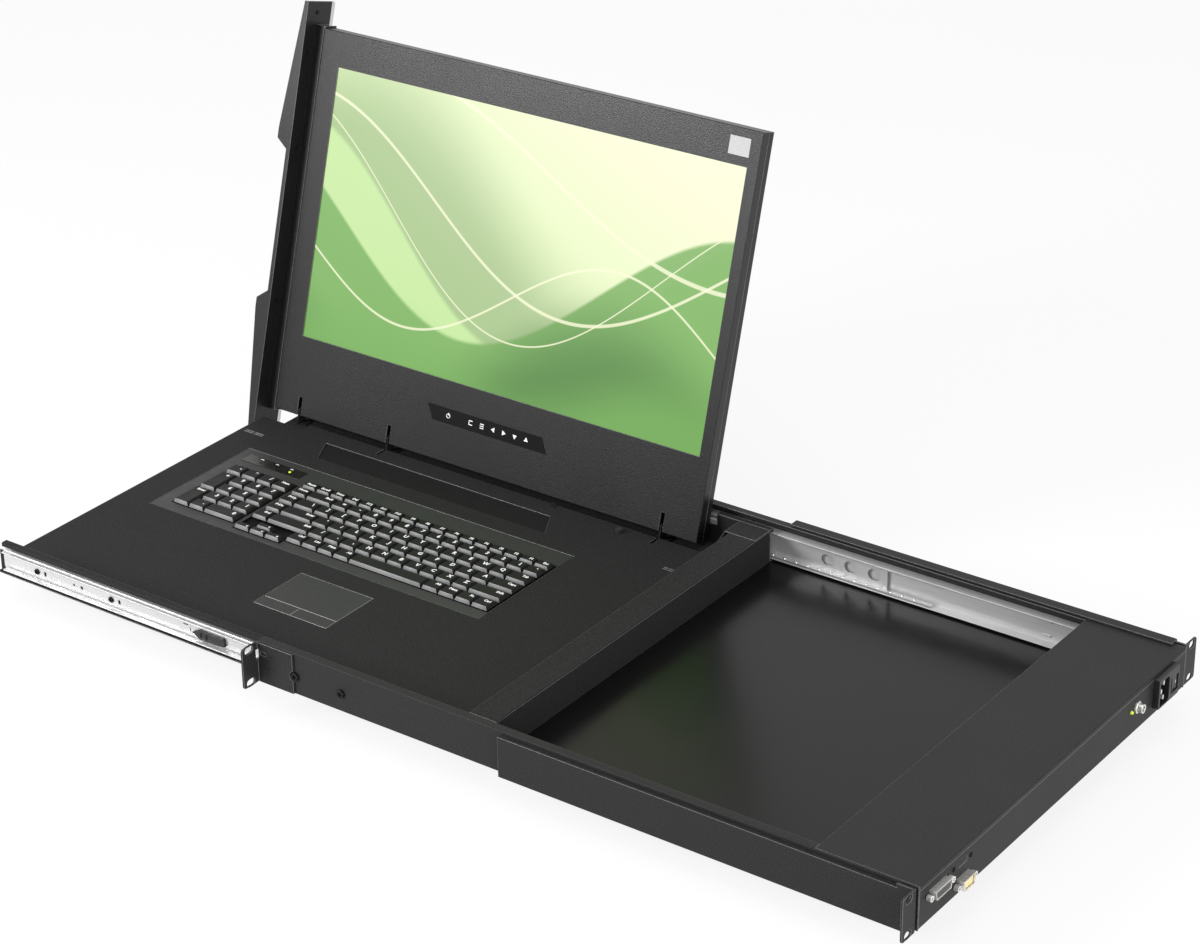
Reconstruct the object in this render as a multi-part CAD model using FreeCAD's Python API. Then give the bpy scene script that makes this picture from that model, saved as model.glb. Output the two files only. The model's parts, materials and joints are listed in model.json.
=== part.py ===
"""Rackmount LCD console drawer, side-facing, 1U.

Millimetres. +X is the near side, where the user stands, -Y is the front of the rack, +Z is up.
The origin is the centre of the four slots of the front ears, on the face that seats on the rack post.
The tray is pulled out and the display is tilted back: that is the rest position.
"""
import FreeCAD
import Part
import math
import os
from FreeCAD import Vector

# ---------------------------------------------------------------- driving dimensions

# Rack interface
RACK_HOLE_X = 232.55          # half of the 465.1 mm hole spacing
RACK_HOLE_Z = 15.875          # half of the 31.75 mm hole spacing
SLOT_HALF = 3.4               # half the width of an ear slot
SLOT_LENGTH = 10.0
EAR_X = 241.3                 # half of the 482.6 mm overall width
EAR_T = 2.0
REAR_EAR_Y = 653.5

# Chassis
SHEET = 1.2
CH_X = 220.0                  # outer half-width
CH_Z = 19.8                   # outer half-height
CH_LENGTH = 654.5
LIP_X = 212.0                 # inner edge of the folded top lip
COVER_Y = 562.0               # front edge of the rear cover

# Ball slides
SLIDE_Z = -3.3                # centre height
OUT_Y = (1.0, 590.0)
OUT_HALF = 13.5
OUT_FLANGE_X = 208.9
IN_Y = (-321.0, 240.0)
IN_HALF = 10.5
RACE_OUT = 9.4                # half-height over the inner member's raceways
BALL_R = 1.4
BALL_X = 212.2
BALL_H = 10.95
CAGE_Y = (110.0, 411.0)
CAGE_WEB_END = 363.0
BALL_PITCH = 12.5

# Keyboard tray
TRAY_X = 204.8                # inner half-width
TRAY_SIDE_X = 206.0           # outer face of the side plates, where the slides sit
RIM_X = 211.2
RIM_Z = 14.8
PAN_Z = -18.1
DECK_Z = -13.0
DECK_FAR_X = -178.0
TRAY_FRONT_Y = -336.0
SIDE_FRONT_Y = -327.0         # front end of the near side plate and of the tray's near corner
CORNER_X = 186.0              # where that corner begins
TRAY_REAR_Y = 244.0
RIM_FRONT_Y = 216.0
NOTCH_X = -167.0
NOTCH_Y = -314.0
DECK_NOTCH_Y = -282.0

# Keyboard
KB_X = (-104.2, 37.4)
KB_Y = (-298.8, 95.8)
KEY_TOP_Z = -9.0
KEY_H = 3.8
ROW_DEPTH = 17.3
ROW_PITCH = 18.6
KEY_GAP = 1.2

# Touchpad
PAD_X = (62.4, 127.6)
PAD_Y = (-89.2, -5.2)
PAD_SPLIT_X = 112.8

# Display: u runs along the hinge from the front end, v up the screen, w out of its face
LCD_LENGTH = 511.4
LCD_HEIGHT = 383.5
LCD_T = 19.0
LCD_FRONT_Y = -332.0
TILT = 16.0                   # degrees beyond upright at rest
HINGE_X = -184.73
HINGE_Z = -4.34
HINGE_V = 4.5                 # the hinge axis in the display's own v and w
HINGE_W = -2.8
PIN_R = 1.5
HINGE_EYE = 3.2               # outer radius of the eye
HINGE_SLOT = 2.2              # half-width of the display's slots for the hinge plates
SCREEN_U = (22.8, 499.3)
SCREEN_V = (80.0, 349.0)
HINGE_U = (30.9, 144.5, 470.5)
HINGE_SLOT_TOP = 18.8

# Fascia on the display's front end
FASCIA_V = (-29.2, 407.6)
FASCIA_W = (-27.8, 15.2)
FASCIA_REAR_U = -10.8
FASCIA_FRONT_U = -15.5

# ---------------------------------------------------------------- small helpers


def box(x, y, z):
    """A box from three (low, high) pairs."""
    return Part.makeBox(x[1] - x[0], y[1] - y[0], z[1] - z[0], Vector(x[0], y[0], z[0]))


def rod(r, x, y, z):
    """A cylinder along the one axis whose value is a (low, high) pair."""
    ends = [v if isinstance(v, tuple) else (v, v) for v in (x, y, z)]
    low = Vector(*[e[0] for e in ends])
    high = Vector(*[e[1] for e in ends])
    return Part.makeCylinder(r, (high - low).Length, low, high - low)


def prism(points, axis, low, high):
    """A polygon extruded along an axis; the points give the other two coordinates in X, Y, Z order."""
    i = "xyz".index(axis)
    corners = []
    for p in points:
        c = list(p)
        c.insert(i, low)
        corners.append(Vector(*c))
    face = Part.Face(Part.makePolygon(corners + [corners[0]]))
    step = [0, 0, 0]
    step[i] = high - low
    return face.extrude(Vector(*step))


def fuse(shapes):
    out = shapes[0]
    if len(shapes) > 1:
        out = out.multiFuse(shapes[1:])
    return out.removeSplitter()


def cut(shape, tools):
    return shape.cut(tools)


def group(shapes):
    return Part.makeCompound(shapes)


def far(shape):
    """The same shape on the far side."""
    return shape.mirror(Vector(0, 0, 0), Vector(1, 0, 0))


def turned_over(shape):
    """The same part used on the far side by turning it half round about the length of the rack."""
    out = shape.copy()
    out.rotate(Vector(0, 0, 0), Vector(0, 1, 0), 180)
    return out


def round_edges(shape, r, test):
    """Round the straight edges whose middle passes the test."""
    edges = [e for e in shape.Edges if test(e.CenterOfMass, e.tangentAt(e.FirstParameter))]
    return shape.makeFillet(r, edges)


def slot_y(x, z, y):
    """A slot through a plate that faces along Y, long in X."""
    half = SLOT_LENGTH / 2 - SLOT_HALF
    return fuse([box((x - half, x + half), y, (z - SLOT_HALF, z + SLOT_HALF)),
                 rod(SLOT_HALF, x - half, y, z), rod(SLOT_HALF, x + half, y, z)])


def frustum(low, high):
    """A solid between two rectangles, each (x0, x1, y0, y1, z)."""
    def corners(r):
        x0, x1, y0, y1, z = r
        return [Vector(x0, y0, z), Vector(x1, y0, z), Vector(x1, y1, z), Vector(x0, y1, z)]
    a, b = corners(low), corners(high)
    faces = [Part.Face(Part.makePolygon(a + [a[0]])), Part.Face(Part.makePolygon(b + [b[0]]))]
    for i in range(4):
        j = (i + 1) % 4
        faces.append(Part.Face(Part.makePolygon([a[i], a[j], b[j], b[i], a[i]])))
    return Part.makeSolid(Part.makeShell(faces))


def on_display(shape):
    """Carry a shape from the display's own (w, u, v) space to where the display stands at rest."""
    s = shape.copy()
    s.translate(Vector(HINGE_X - HINGE_W, LCD_FRONT_Y, HINGE_Z - HINGE_V))
    s.rotate(Vector(HINGE_X, 0, HINGE_Z), Vector(0, 1, 0), -TILT)
    return s


NODES = {}

# ---------------------------------------------------------------- chassis

WALL_SCREWS = [(40.1, -2.6), (90.5, -2.6)]     # y, z of the screws that hold each slide to the wall
WALL_SCREW_HEAD = 4.0
SCREW_R = 1.5
PARTITION_Y = 591.0
GUIDE_Z = -3.0                # centre of the near rail; the far one is turned over with its bracket
BRACKET_FRONT_Y = 260.0
BRACKET_REAR_Y = REAR_EAR_Y - 10.0     # where the bracket's folded edges stop
VIDEO_AT = (191.7, 4.6)       # centre of the wide D-sub
DATA_AT = (153.6, -9.4)       # centre of the narrow D-sub
JACK_AT = (-131.5, 4.2)
LED_AT = (-122.0, 3.4)
INLET_X = (-198.0, -161.0)
INLET_Z = (-12.0, 16.3)
INLET_OUT = 5.5               # how far the inlet stands out of the rear panel
SOCKET_X = (-179.6, -163.6)
SOCKET_Z = (-10.5, 13.1)
ROCKER_X = (-196.4, -183.4)
ROCKER_Z = (-7.0, 8.0)
LEVER_AT = (-56.0, -5.4)      # y, z of the release lever's pivot


def chassis_base():
    """The floor, and the partition that closes the rear compartment off from the well."""
    x = (-CH_X + SHEET, CH_X - SHEET)
    floor = box(x, (0, CH_LENGTH - SHEET), (-CH_Z, -CH_Z + SHEET))
    partition = box(x, (PARTITION_Y, PARTITION_Y + SHEET), (-CH_Z + SHEET, CH_Z - SHEET))
    return fuse([floor, partition])


def chassis_side():
    web = box((CH_X - SHEET, CH_X), (0, CH_LENGTH), (-CH_Z, CH_Z))
    lip = box((LIP_X, CH_X - SHEET), (0, COVER_Y), (CH_Z - SHEET, CH_Z))
    side = fuse([web, lip])
    side = round_edges(side, 1.0, lambda c, t: abs(t.y) > 0.9 and c.x > CH_X - 0.1 and c.z > CH_Z - 0.1)
    holes = [rod(SCREW_R, (CH_X - 2, CH_X + 1), y, z) for y, z in WALL_SCREWS]
    slit = box((CH_X - 2, CH_X + 1), (3.2, 9.0), (7.2, 11.4))
    return cut(side, holes + [slit])


def rear_cover():
    top = box((-CH_X + SHEET, CH_X - SHEET), (COVER_Y, CH_LENGTH), (CH_Z - SHEET, CH_Z))
    bend = box((-CH_X + SHEET, CH_X - SHEET), (CH_LENGTH - SHEET, CH_LENGTH), (CH_Z - 4.2, CH_Z - SHEET))
    cover = fuse([top, bend])
    return round_edges(cover, 1.0, lambda c, t: abs(t.x) > 0.9 and c.y > CH_LENGTH - 0.1 and c.z > CH_Z - 0.1)


def rear_panel():
    y = (CH_LENGTH - SHEET, CH_LENGTH)
    panel = box((-CH_X + SHEET, CH_X - SHEET), y, (-CH_Z + SHEET, CH_Z - 4.2))
    holes = [box((VIDEO_AT[0] - 13, VIDEO_AT[0] + 13), y, (VIDEO_AT[1] - 4.6, VIDEO_AT[1] + 4.6)),
             box((DATA_AT[0] - 9.6, DATA_AT[0] + 9.6), y, (DATA_AT[1] - 5.4, DATA_AT[1] + 5.4)),
             rod(4.0, JACK_AT[0], y, JACK_AT[1]),
             rod(1.5, LED_AT[0], y, LED_AT[1]),
             box((INLET_X[0] + 2, INLET_X[1] - 2), y, (INLET_Z[0] + 1, INLET_Z[1] - 1.5))]
    groove = box((148.0, 161.0), (CH_LENGTH - 0.4, CH_LENGTH), (4.8, 5.3))
    groove_end = box((148.0, 148.5), (CH_LENGTH - 0.4, CH_LENGTH), (4.8, 9.6))
    return cut(panel, holes + [groove, groove_end])


def front_ear():
    flange = box((CH_X, EAR_X), (-EAR_T, 0), (-19.3, 19.3))
    flange = round_edges(flange, 2.5, lambda c, t: abs(t.y) > 0.9 and c.x > EAR_X - 0.1)
    leg = box((CH_X, CH_X + EAR_T), (0, 38.8), (-19.8, 18.8))
    ear = fuse([flange, leg])
    slots = [slot_y(RACK_HOLE_X, z, (-EAR_T, 0)) for z in (-RACK_HOLE_Z, RACK_HOLE_Z)]
    slit = box((CH_X - 1, CH_X + 4.2), (-EAR_T - 1, 0.8), (3.0, 12.0))
    oval = fuse([box((CH_X, CH_X + EAR_T), (4.6, 8.0), (7.4, 11.2)),
                 rod(1.9, (CH_X, CH_X + EAR_T), 4.6, 9.3), rod(1.9, (CH_X, CH_X + EAR_T), 8.0, 9.3)])
    notch = rod(WALL_SCREW_HEAD + 0.8, (CH_X, CH_X + EAR_T), WALL_SCREWS[0][0], WALL_SCREWS[0][1])
    return cut(ear, slots + [slit, oval, notch])


def outer_slide():
    z0, z1 = SLIDE_Z - OUT_HALF, SLIDE_Z + OUT_HALF
    wall = CH_X - SHEET
    web = box((wall - 1.2, wall), OUT_Y, (z0, z1))
    top = box((OUT_FLANGE_X, wall - 1.2), OUT_Y, (z1 - 1.0, z1))
    bottom = box((OUT_FLANGE_X, wall - 1.2), OUT_Y, (z0, z0 + 1.0))
    tabs = [box((wall - 2.2, wall - 1.2), (520, 528), (SLIDE_Z + z - 1, SLIDE_Z + z + 1)) for z in (-7, 7)]
    holes = [rod(SCREW_R, (wall - 2, wall + 1), y, z) for y, z in WALL_SCREWS]
    return cut(fuse([web, top, bottom] + tabs), holes)


def bracket_guide():
    """A T-shaped rail on the outside of the wall, which the rear bracket's runners hook behind."""
    y = (300.0, 640.0)
    stem = box((CH_X, CH_X + 1.3), y, (GUIDE_Z - 4, GUIDE_Z + 4))
    head = box((CH_X + 1.3, CH_X + 2.2), y, (GUIDE_Z - 9, GUIDE_Z + 9))
    return fuse([stem, head])


def dsub(at, width, height, spacing, out):
    """A D-sub connector: flange behind the panel, tapered shell, pin insert face and two hex nuts."""
    x, z = at
    inner = CH_LENGTH - SHEET
    flange = box((x - spacing / 2 - 3.4, x + spacing / 2 + 3.4), (inner - 0.8, inner), (z - 6.2, z + 6.2))
    half, low = width / 2, width / 2 - 1.6
    h = height / 2
    outline = [(x - low, z - h), (x + low, z - h), (x + half, z + h), (x - half, z + h)]
    shell = prism([(px, pz) for px, pz in outline], "y", inner, CH_LENGTH + out)
    body = box((x - half - 1, x + half + 1), (inner - 9, inner - 0.8), (z - h - 0.8, z + h + 0.8))
    nuts = []
    for side in (-1, 1):
        cx = x + side * spacing / 2
        points = [(cx + 2.9 * math.cos(math.radians(60 * k)), z + 2.9 * math.sin(math.radians(60 * k)))
                  for k in range(6)]
        nut = prism(points, "y", CH_LENGTH, CH_LENGTH + 5.0)
        nuts.append(cut(nut, [rod(1.3, cx, (CH_LENGTH + 0.5, CH_LENGTH + 5.0), z)]))
    return group([fuse([flange, shell, body])] + nuts)


def power_inlet():
    inside = CH_LENGTH - 14.0
    front = CH_LENGTH + INLET_OUT
    block = box(INLET_X, (CH_LENGTH, front), INLET_Z)
    block = round_edges(block, 1.2, lambda c, t: abs(t.y) > 0.9)
    body = box((INLET_X[0] + 2, INLET_X[1] - 2), (inside, CH_LENGTH), (INLET_Z[0] + 1, INLET_Z[1] - 1.5))
    socket = box(SOCKET_X, (CH_LENGTH - 6.0, front), SOCKET_Z)
    socket = round_edges(socket, 3.0, lambda c, t: abs(t.y) > 0.9 and c.x < SOCKET_X[0] + 0.1)
    window = box(ROCKER_X, (CH_LENGTH - 6.0, front), ROCKER_Z)
    housing = cut(fuse([block, body]), [socket, window])
    mid_x = (SOCKET_X[0] + SOCKET_X[1]) / 2
    mid_z = (SOCKET_Z[0] + SOCKET_Z[1]) / 2
    pins = []
    for dx, dz in ((-2, 7), (-2, -7), (2, 0)):
        x, z = mid_x + dx, mid_z + dz
        pins.append(box((x - 1, x + 1), (CH_LENGTH - 8.0, front - 2.0), (z - 2, z + 2)))
    return fuse([housing] + pins)


ROCKER_PIVOT = ((ROCKER_X[0] + ROCKER_X[1]) / 2, CH_LENGTH + INLET_OUT - 3.0)
ROCKER_TILT = 6.0


def power_rocker():
    """The mains rocker, pivoted on an upright pin: pressed in on one side at rest."""
    px, py = ROCKER_PIVOT
    z = (ROCKER_Z[0] + 0.4, ROCKER_Z[1] - 0.4)
    outline = [(px - 5.6, py - 2.4), (px + 5.6, py - 2.4), (px + 5.6, py + 2.6), (px, py + 1.6),
               (px - 5.6, py + 2.6)]
    body = prism(outline, "z", *z)
    body.rotate(Vector(px, py, 0), Vector(0, 0, 1), ROCKER_TILT)
    return body


def round_jack():
    x, z = JACK_AT
    sleeve = rod(4.0, x, (CH_LENGTH - 9, CH_LENGTH + 6.5), z)
    nut_points = [(x + 5.6 * math.cos(math.radians(60 * k)), z + 5.6 * math.sin(math.radians(60 * k)))
                  for k in range(6)]
    nut = prism(nut_points, "y", CH_LENGTH, CH_LENGTH + 1.8)
    bore = rod(2.75, x, (CH_LENGTH - 3, CH_LENGTH + 6.5), z)
    pin = rod(1.0, x, (CH_LENGTH - 3, CH_LENGTH + 5.0), z)
    return fuse([cut(fuse([sleeve, nut]), [bore]), pin])


def status_led():
    x, z = LED_AT
    lens = rod(1.5, x, (CH_LENGTH - 4, CH_LENGTH + 0.6), z)
    return fuse([lens, Part.makeSphere(1.5, Vector(x, CH_LENGTH + 0.6, z))])


def power_supply():
    box_shape = box((-150, -20), (593, 644), (-CH_Z + SHEET, 12.0))
    return round_edges(box_shape, 1.0, lambda c, t: abs(t.z) < 0.1 and c.z > 11.9)


def main_board():
    board = box((-5, 205), (596, 642), (-13.0, -11.4))
    parts = [board]
    for x in (5, 195):
        for y in (602, 636):
            parts.append(rod(2.5, x, y, (-CH_Z + SHEET, -13.0)))
    for x, y, w, d, h in ((30, 606, 24, 24, 3.0), (75, 608, 18, 18, 2.4), (110, 604, 12, 20, 4.0),
                          (20, 634, 10, 6, 8.0)):
        parts.append(box((x, x + w), (y, y + d), (-11.4, -11.4 + h)))
    return fuse(parts)


def pan_head(x, y, z, r, axis, depth):
    """A cross-slotted pan-head screw whose head stands out along the axis (+1 or -1 times a unit letter).
    With no depth it is a head alone, on a blind hole."""
    sign, letter = axis
    i = "xyz".index(letter)
    at = Vector(x, y, z)
    d = [0, 0, 0]
    d[i] = sign
    d = Vector(*d)
    head = Part.makeCylinder(r, r * 0.55, at, d)
    rim = [e for e in head.Edges if (e.CenterOfMass - at).dot(d) > r * 0.5]
    head = head.makeFillet(r * 0.22, rim)
    solids = [head]
    if depth:
        solids.append(Part.makeCylinder(SCREW_R, depth, at - d * depth, d))
    arms = []
    for wide in (0, 1):
        size = [0.0, 0.0, 0.0]
        others = [k for k in range(3) if k != i]
        size[others[wide]] = r * 1.1
        size[others[1 - wide]] = r * 0.24
        size[i] = r * 0.3
        centre = at + d * (r * 0.55 - r * 0.15 + 0.01)
        corner = centre - Vector(*size) * 0.5
        arms.append(Part.makeBox(size[0], size[1], size[2], corner))
    return cut(fuse(solids), arms)


def chassis_screws():
    out = []
    for y, z in WALL_SCREWS:
        s = pan_head(CH_X, y, z, WALL_SCREW_HEAD, (1, "x"), 2.4)
        out += [s, far(s)]
    for x, z in ((167.5, 7.0), (141.5, 6.5)):
        out.append(pan_head(x, CH_LENGTH, z, 2.0, (1, "y"), 0))
    return group(out)


NODES["chassis_base"] = chassis_base()
NODES["chassis_side_near"] = chassis_side()
NODES["chassis_side_far"] = far(chassis_side())
NODES["rear_cover"] = rear_cover()
NODES["rear_panel"] = rear_panel()
NODES["front_ear_near"] = front_ear()
NODES["front_ear_far"] = far(front_ear())
NODES["outer_slide_near"] = outer_slide()
NODES["outer_slide_far"] = far(outer_slide())
NODES["bracket_guides"] = group([bracket_guide(), turned_over(bracket_guide())])
NODES["video_port"] = dsub(VIDEO_AT, 24.6, 8.2, 32.0, 6.0)
NODES["data_port"] = dsub(DATA_AT, 18.0, 10.0, 24.8, 7.0)
NODES["power_inlet"] = power_inlet()
NODES["power_rocker"] = power_rocker()
NODES["round_jack"] = round_jack()
NODES["status_led"] = status_led()
NODES["power_supply"] = power_supply()
NODES["main_board"] = main_board()
NODES["chassis_screws"] = chassis_screws()

# ---------------------------------------------------------------- rear brackets


def rear_bracket():
    """A long plate outside the wall with folded edges, runners that hook the rail, and the rack ear."""
    x0, x1 = CH_X + 2.4, CH_X + 4.4
    y = (BRACKET_FRONT_Y, BRACKET_REAR_Y)
    web = box((x0, x1), y, (-22.0, 16.0))
    web_end = box((x0, x1), (BRACKET_REAR_Y, REAR_EAR_Y), (-19.8, 16.0))
    lip = box((CH_X + 0.4, x0), y, (14.6, 16.0))
    foot = box((CH_X - 6, x0), y, (-22.0, -20.4))
    ear = box((x1, EAR_X), (REAR_EAR_Y - EAR_T, REAR_EAR_Y), (-19.8, 19.8))
    ear = round_edges(ear, 2.5, lambda c, t: abs(t.y) > 0.9 and c.x > EAR_X - 0.1)
    tab = box((x0, x1), (REAR_EAR_Y - 16, REAR_EAR_Y), (16.0, 19.8))
    runners = []
    for s in (-1, 1):
        near, outer, hook = GUIDE_Z + s * 4.3, GUIDE_Z + s * 10.4, GUIDE_Z + s * 9.2
        z_hook = (min(near, outer), max(near, outer))
        z_side = (min(hook, outer), max(hook, outer))
        runners.append(box((CH_X + 0.2, CH_X + 1.1), (310, 500), z_hook))
        runners.append(box((CH_X + 0.2, x0), (310, 500), z_side))
    slots = [slot_y(RACK_HOLE_X, z, (REAR_EAR_Y - EAR_T, REAR_EAR_Y)) for z in (-RACK_HOLE_Z, RACK_HOLE_Z)]
    return cut(fuse([web, web_end, lip, foot, ear, tab] + runners), slots)


NODES["rear_bracket_near"] = rear_bracket()
NODES["rear_bracket_far"] = turned_over(rear_bracket())

# ---------------------------------------------------------------- ball cages


def ball_places():
    n = int((CAGE_Y[1] - CAGE_Y[0] - 16) / BALL_PITCH)
    return [CAGE_Y[0] + 8 + BALL_PITCH * k for k in range(n + 1)]


def ball_cage():
    web = box((214.9, 215.5), (CAGE_Y[0], CAGE_WEB_END), (SLIDE_Z - 11.3, SLIDE_Z + 11.3))
    legs = []
    windows = []
    for s in (-1, 1):
        z = sorted((SLIDE_Z + s * 10.6, SLIDE_Z + s * 11.3))
        legs.append(box((210.4, 214.9), CAGE_Y, tuple(z)))
        windows += [rod(BALL_R + 0.05, BALL_X, y, (z[0] - 1, z[1] + 1)) for y in ball_places()]
    for y in (300.0, 324.5, 349.4):
        windows.append(fuse([box((214, 216), (y - 1.3, y + 1.3), (SLIDE_Z - 5.5, SLIDE_Z + 5.5)),
                             rod(5.5, (214, 216), y - 1.3, SLIDE_Z), rod(5.5, (214, 216), y + 1.3, SLIDE_Z)]))
    return cut(fuse([web] + legs), windows)


def slide_balls():
    balls = []
    for s in (-1, 1):
        balls += [Part.makeSphere(BALL_R, Vector(BALL_X, y, SLIDE_Z + s * BALL_H)) for y in ball_places()]
    return group(balls)


NODES["ball_cage_near"] = ball_cage()
NODES["ball_cage_far"] = far(ball_cage())
NODES["slide_balls_near"] = slide_balls()
NODES["slide_balls_far"] = far(slide_balls())

# ---------------------------------------------------------------- keyboard tray


def drawer_pan():
    x = (-TRAY_X, TRAY_X)
    z = (PAN_Z + 1.0, DECK_Z - SHEET)
    floor = box(x, (TRAY_FRONT_Y, TRAY_REAR_Y), (PAN_Z, PAN_Z + 1.0))
    rear = box(x, (TRAY_REAR_Y - SHEET, TRAY_REAR_Y), (PAN_Z + 1.0, RIM_Z - SHEET))
    front = box((NOTCH_X, CORNER_X), (TRAY_FRONT_Y, TRAY_FRONT_Y + SHEET), z)
    corner_side = box((CORNER_X - SHEET, CORNER_X), (TRAY_FRONT_Y + SHEET, SIDE_FRONT_Y + SHEET), z)
    corner_front = box((CORNER_X, TRAY_X), (SIDE_FRONT_Y, SIDE_FRONT_Y + SHEET), z)
    notches = [box((-TRAY_X, NOTCH_X), (TRAY_FRONT_Y, NOTCH_Y), (PAN_Z, PAN_Z + 1.0)),
               box((CORNER_X, TRAY_X), (TRAY_FRONT_Y, SIDE_FRONT_Y), (PAN_Z, PAN_Z + 1.0))]
    return cut(fuse([floor, rear, front, corner_side, corner_front]), notches)


def drawer_side(front, tall_from):
    """A side plate: upright web, outward foot, and a rim flange over the slide from tall_from rearwards."""
    web = box((TRAY_X, TRAY_SIDE_X), (front, TRAY_REAR_Y), (PAN_Z, RIM_Z))
    rim = box((TRAY_X, RIM_X), (max(tall_from, front + 5), TRAY_REAR_Y), (RIM_Z - SHEET, RIM_Z))
    drop = box((RIM_X - SHEET, RIM_X), (max(tall_from, front + 5), TRAY_REAR_Y), (RIM_Z - 4.0, RIM_Z - SHEET))
    foot = box((TRAY_SIDE_X, 211.0), (front, TRAY_REAR_Y), (PAN_Z, PAN_Z + 1.0))
    side = fuse([web, rim, drop, foot])
    side = round_edges(side, 1.1, lambda c, t: abs(t.y) > 0.9 and c.x > RIM_X - 0.1 and c.z > RIM_Z - 0.1)
    plate_x = (TRAY_X - 1, TRAY_SIDE_X + 0.01)
    tools = [box(plate_x, (front - 1, front + 12), (6.0, 12.0)), rod(3.0, plate_x, front + 12, 9.0),
             box(plate_x, (front - 1, front + 9), (12.0, RIM_Z + 1))]
    if tall_from > front:
        tools.append(box((TRAY_X - 1, RIM_X + 1), (front - 1, tall_from), (3.0, RIM_Z + 1)))
    return cut(side, tools)


def inner_slide():
    zc = SLIDE_Z
    web = box((TRAY_SIDE_X, TRAY_SIDE_X + 1.2), IN_Y, (zc - IN_HALF, zc + IN_HALF))
    parts = [round_edges(web, 2.5, lambda c, t: abs(t.x) > 0.9 and c.y < IN_Y[0] + 0.1)]
    race_y = (IN_Y[0] + 4.0, IN_Y[1])
    for s in (-1, 1):
        def band(a, b):
            return tuple(sorted((zc + s * a, zc + s * b)))
        parts.append(box((207.2, 209.6), race_y, band(IN_HALF - 1.0, IN_HALF)))
        parts.append(box((208.6, 209.6), race_y, band(RACE_OUT - 1.0, IN_HALF)))
        parts.append(box((208.6, 213.6), race_y, band(RACE_OUT - 1.0, RACE_OUT)))
    side = fuse(parts)
    tools = []
    for y in (-269.0, -177.4):
        tools.append(fuse([rod(1.5, (205, 208), y, -4.2), rod(1.5, (205, 208), y, -6.0),
                           box((205, 208), (y - 1.5, y + 1.5), (-6.0, -4.2))]))
    tools += [rod(1.2, (205, 208), -233.0, -5.0), rod(1.7, (205, 208), -223.4, -5.0)]
    tools += [rod(SCREW_R, (205, 208), y, -5.0) for y in (-278.6, -186.8)]
    tools.append(box((205, 208), (-100.5, -94.5), (-2.4, -1.0)))
    tools.append(box((205, 208), (-92.6, -91.8), (-7.5, -2.5)))
    tools.append(rod(1.6, (205, 208), LEVER_AT[0], LEVER_AT[1]))
    return cut(side, tools)


def release_lever():
    """The arrow-shaped lever on the inner slide; its pivot stub runs in a hole in the slide's web."""
    y, z = LEVER_AT
    x = (207.5, 209.9)
    outline = [(-88.0, z + 0.2), (-79.5, z + 5.0), (-62.0, z + 4.4), (-51.0, z + 4.8), (-49.8, z - 3.2),
               (-62.0, z - 4.6), (-78.0, z - 5.0)]
    plate = prism([(py, pz) for py, pz in outline], "x", *x)
    pocket = box((208.8, 210.5), (-78.0, -66.0), (z - 2.6, z + 2.6))
    rib = box((208.8, 209.9), (-73.0, -71.6), (z - 2.6, z + 2.6))
    stub = rod(1.5, (206.2, 207.5), y, z)
    return fuse([cut(plate, [pocket]), rib, stub])


def keyboard_deck():
    z = (DECK_Z - SHEET, DECK_Z)
    plate = box((DECK_FAR_X, TRAY_X), (TRAY_FRONT_Y, RIM_FRONT_Y), z)
    skirt = box((DECK_FAR_X, DECK_FAR_X + SHEET), (DECK_NOTCH_Y, RIM_FRONT_Y), (PAN_Z + 1.0, z[0]))
    skirt_end = box((NOTCH_X, NOTCH_X + SHEET), (TRAY_FRONT_Y + SHEET, DECK_NOTCH_Y), (PAN_Z + 1.0, z[0]))
    skirt_step = box((DECK_FAR_X, NOTCH_X + SHEET), (DECK_NOTCH_Y, DECK_NOTCH_Y + SHEET), (PAN_Z + 1.0, z[0]))
    window_z = (z[0] - 1, z[1] + 1)
    tools = [box((DECK_FAR_X - 1, NOTCH_X), (TRAY_FRONT_Y - 1, DECK_NOTCH_Y), window_z),
             box((CORNER_X, TRAY_X + 1), (TRAY_FRONT_Y - 1, SIDE_FRONT_Y), window_z),
             box((KB_X[0] - 0.5, KB_X[1] + 0.5), (KB_Y[0] - 0.5, KB_Y[1] + 0.5), window_z),
             box((PAD_X[0] - 0.4, PAD_X[1] + 0.4), (PAD_Y[0] - 0.4, PAD_Y[1] + 0.4), window_z),
             prism([(-156.2, -244.8), (-156.2, 30.0), (-126.2, 46.0), (-126.2, -230.0)], "z", *window_z)]
    for u in HINGE_U:
        y = LCD_FRONT_Y + u
        tools.append(box((DECK_FAR_X - 1, -166.0), (y - 1.5, y + 1.5), (PAN_Z + 1.0, window_z[1])))
    for y, length in ((-318.5, 23.0), (180.5, 10.0)):
        for x in (-135.2, -132.4):
            tools.append(box((x, x + 1.0), (y - length / 2, y - 0.8), (DECK_Z - 0.6, window_z[1])))
            tools.append(box((x, x + 1.0), (y + 0.8, y + length / 2), (DECK_Z - 0.6, window_z[1])))
    return cut(fuse([plate, skirt, skirt_end, skirt_step]), tools)


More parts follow.
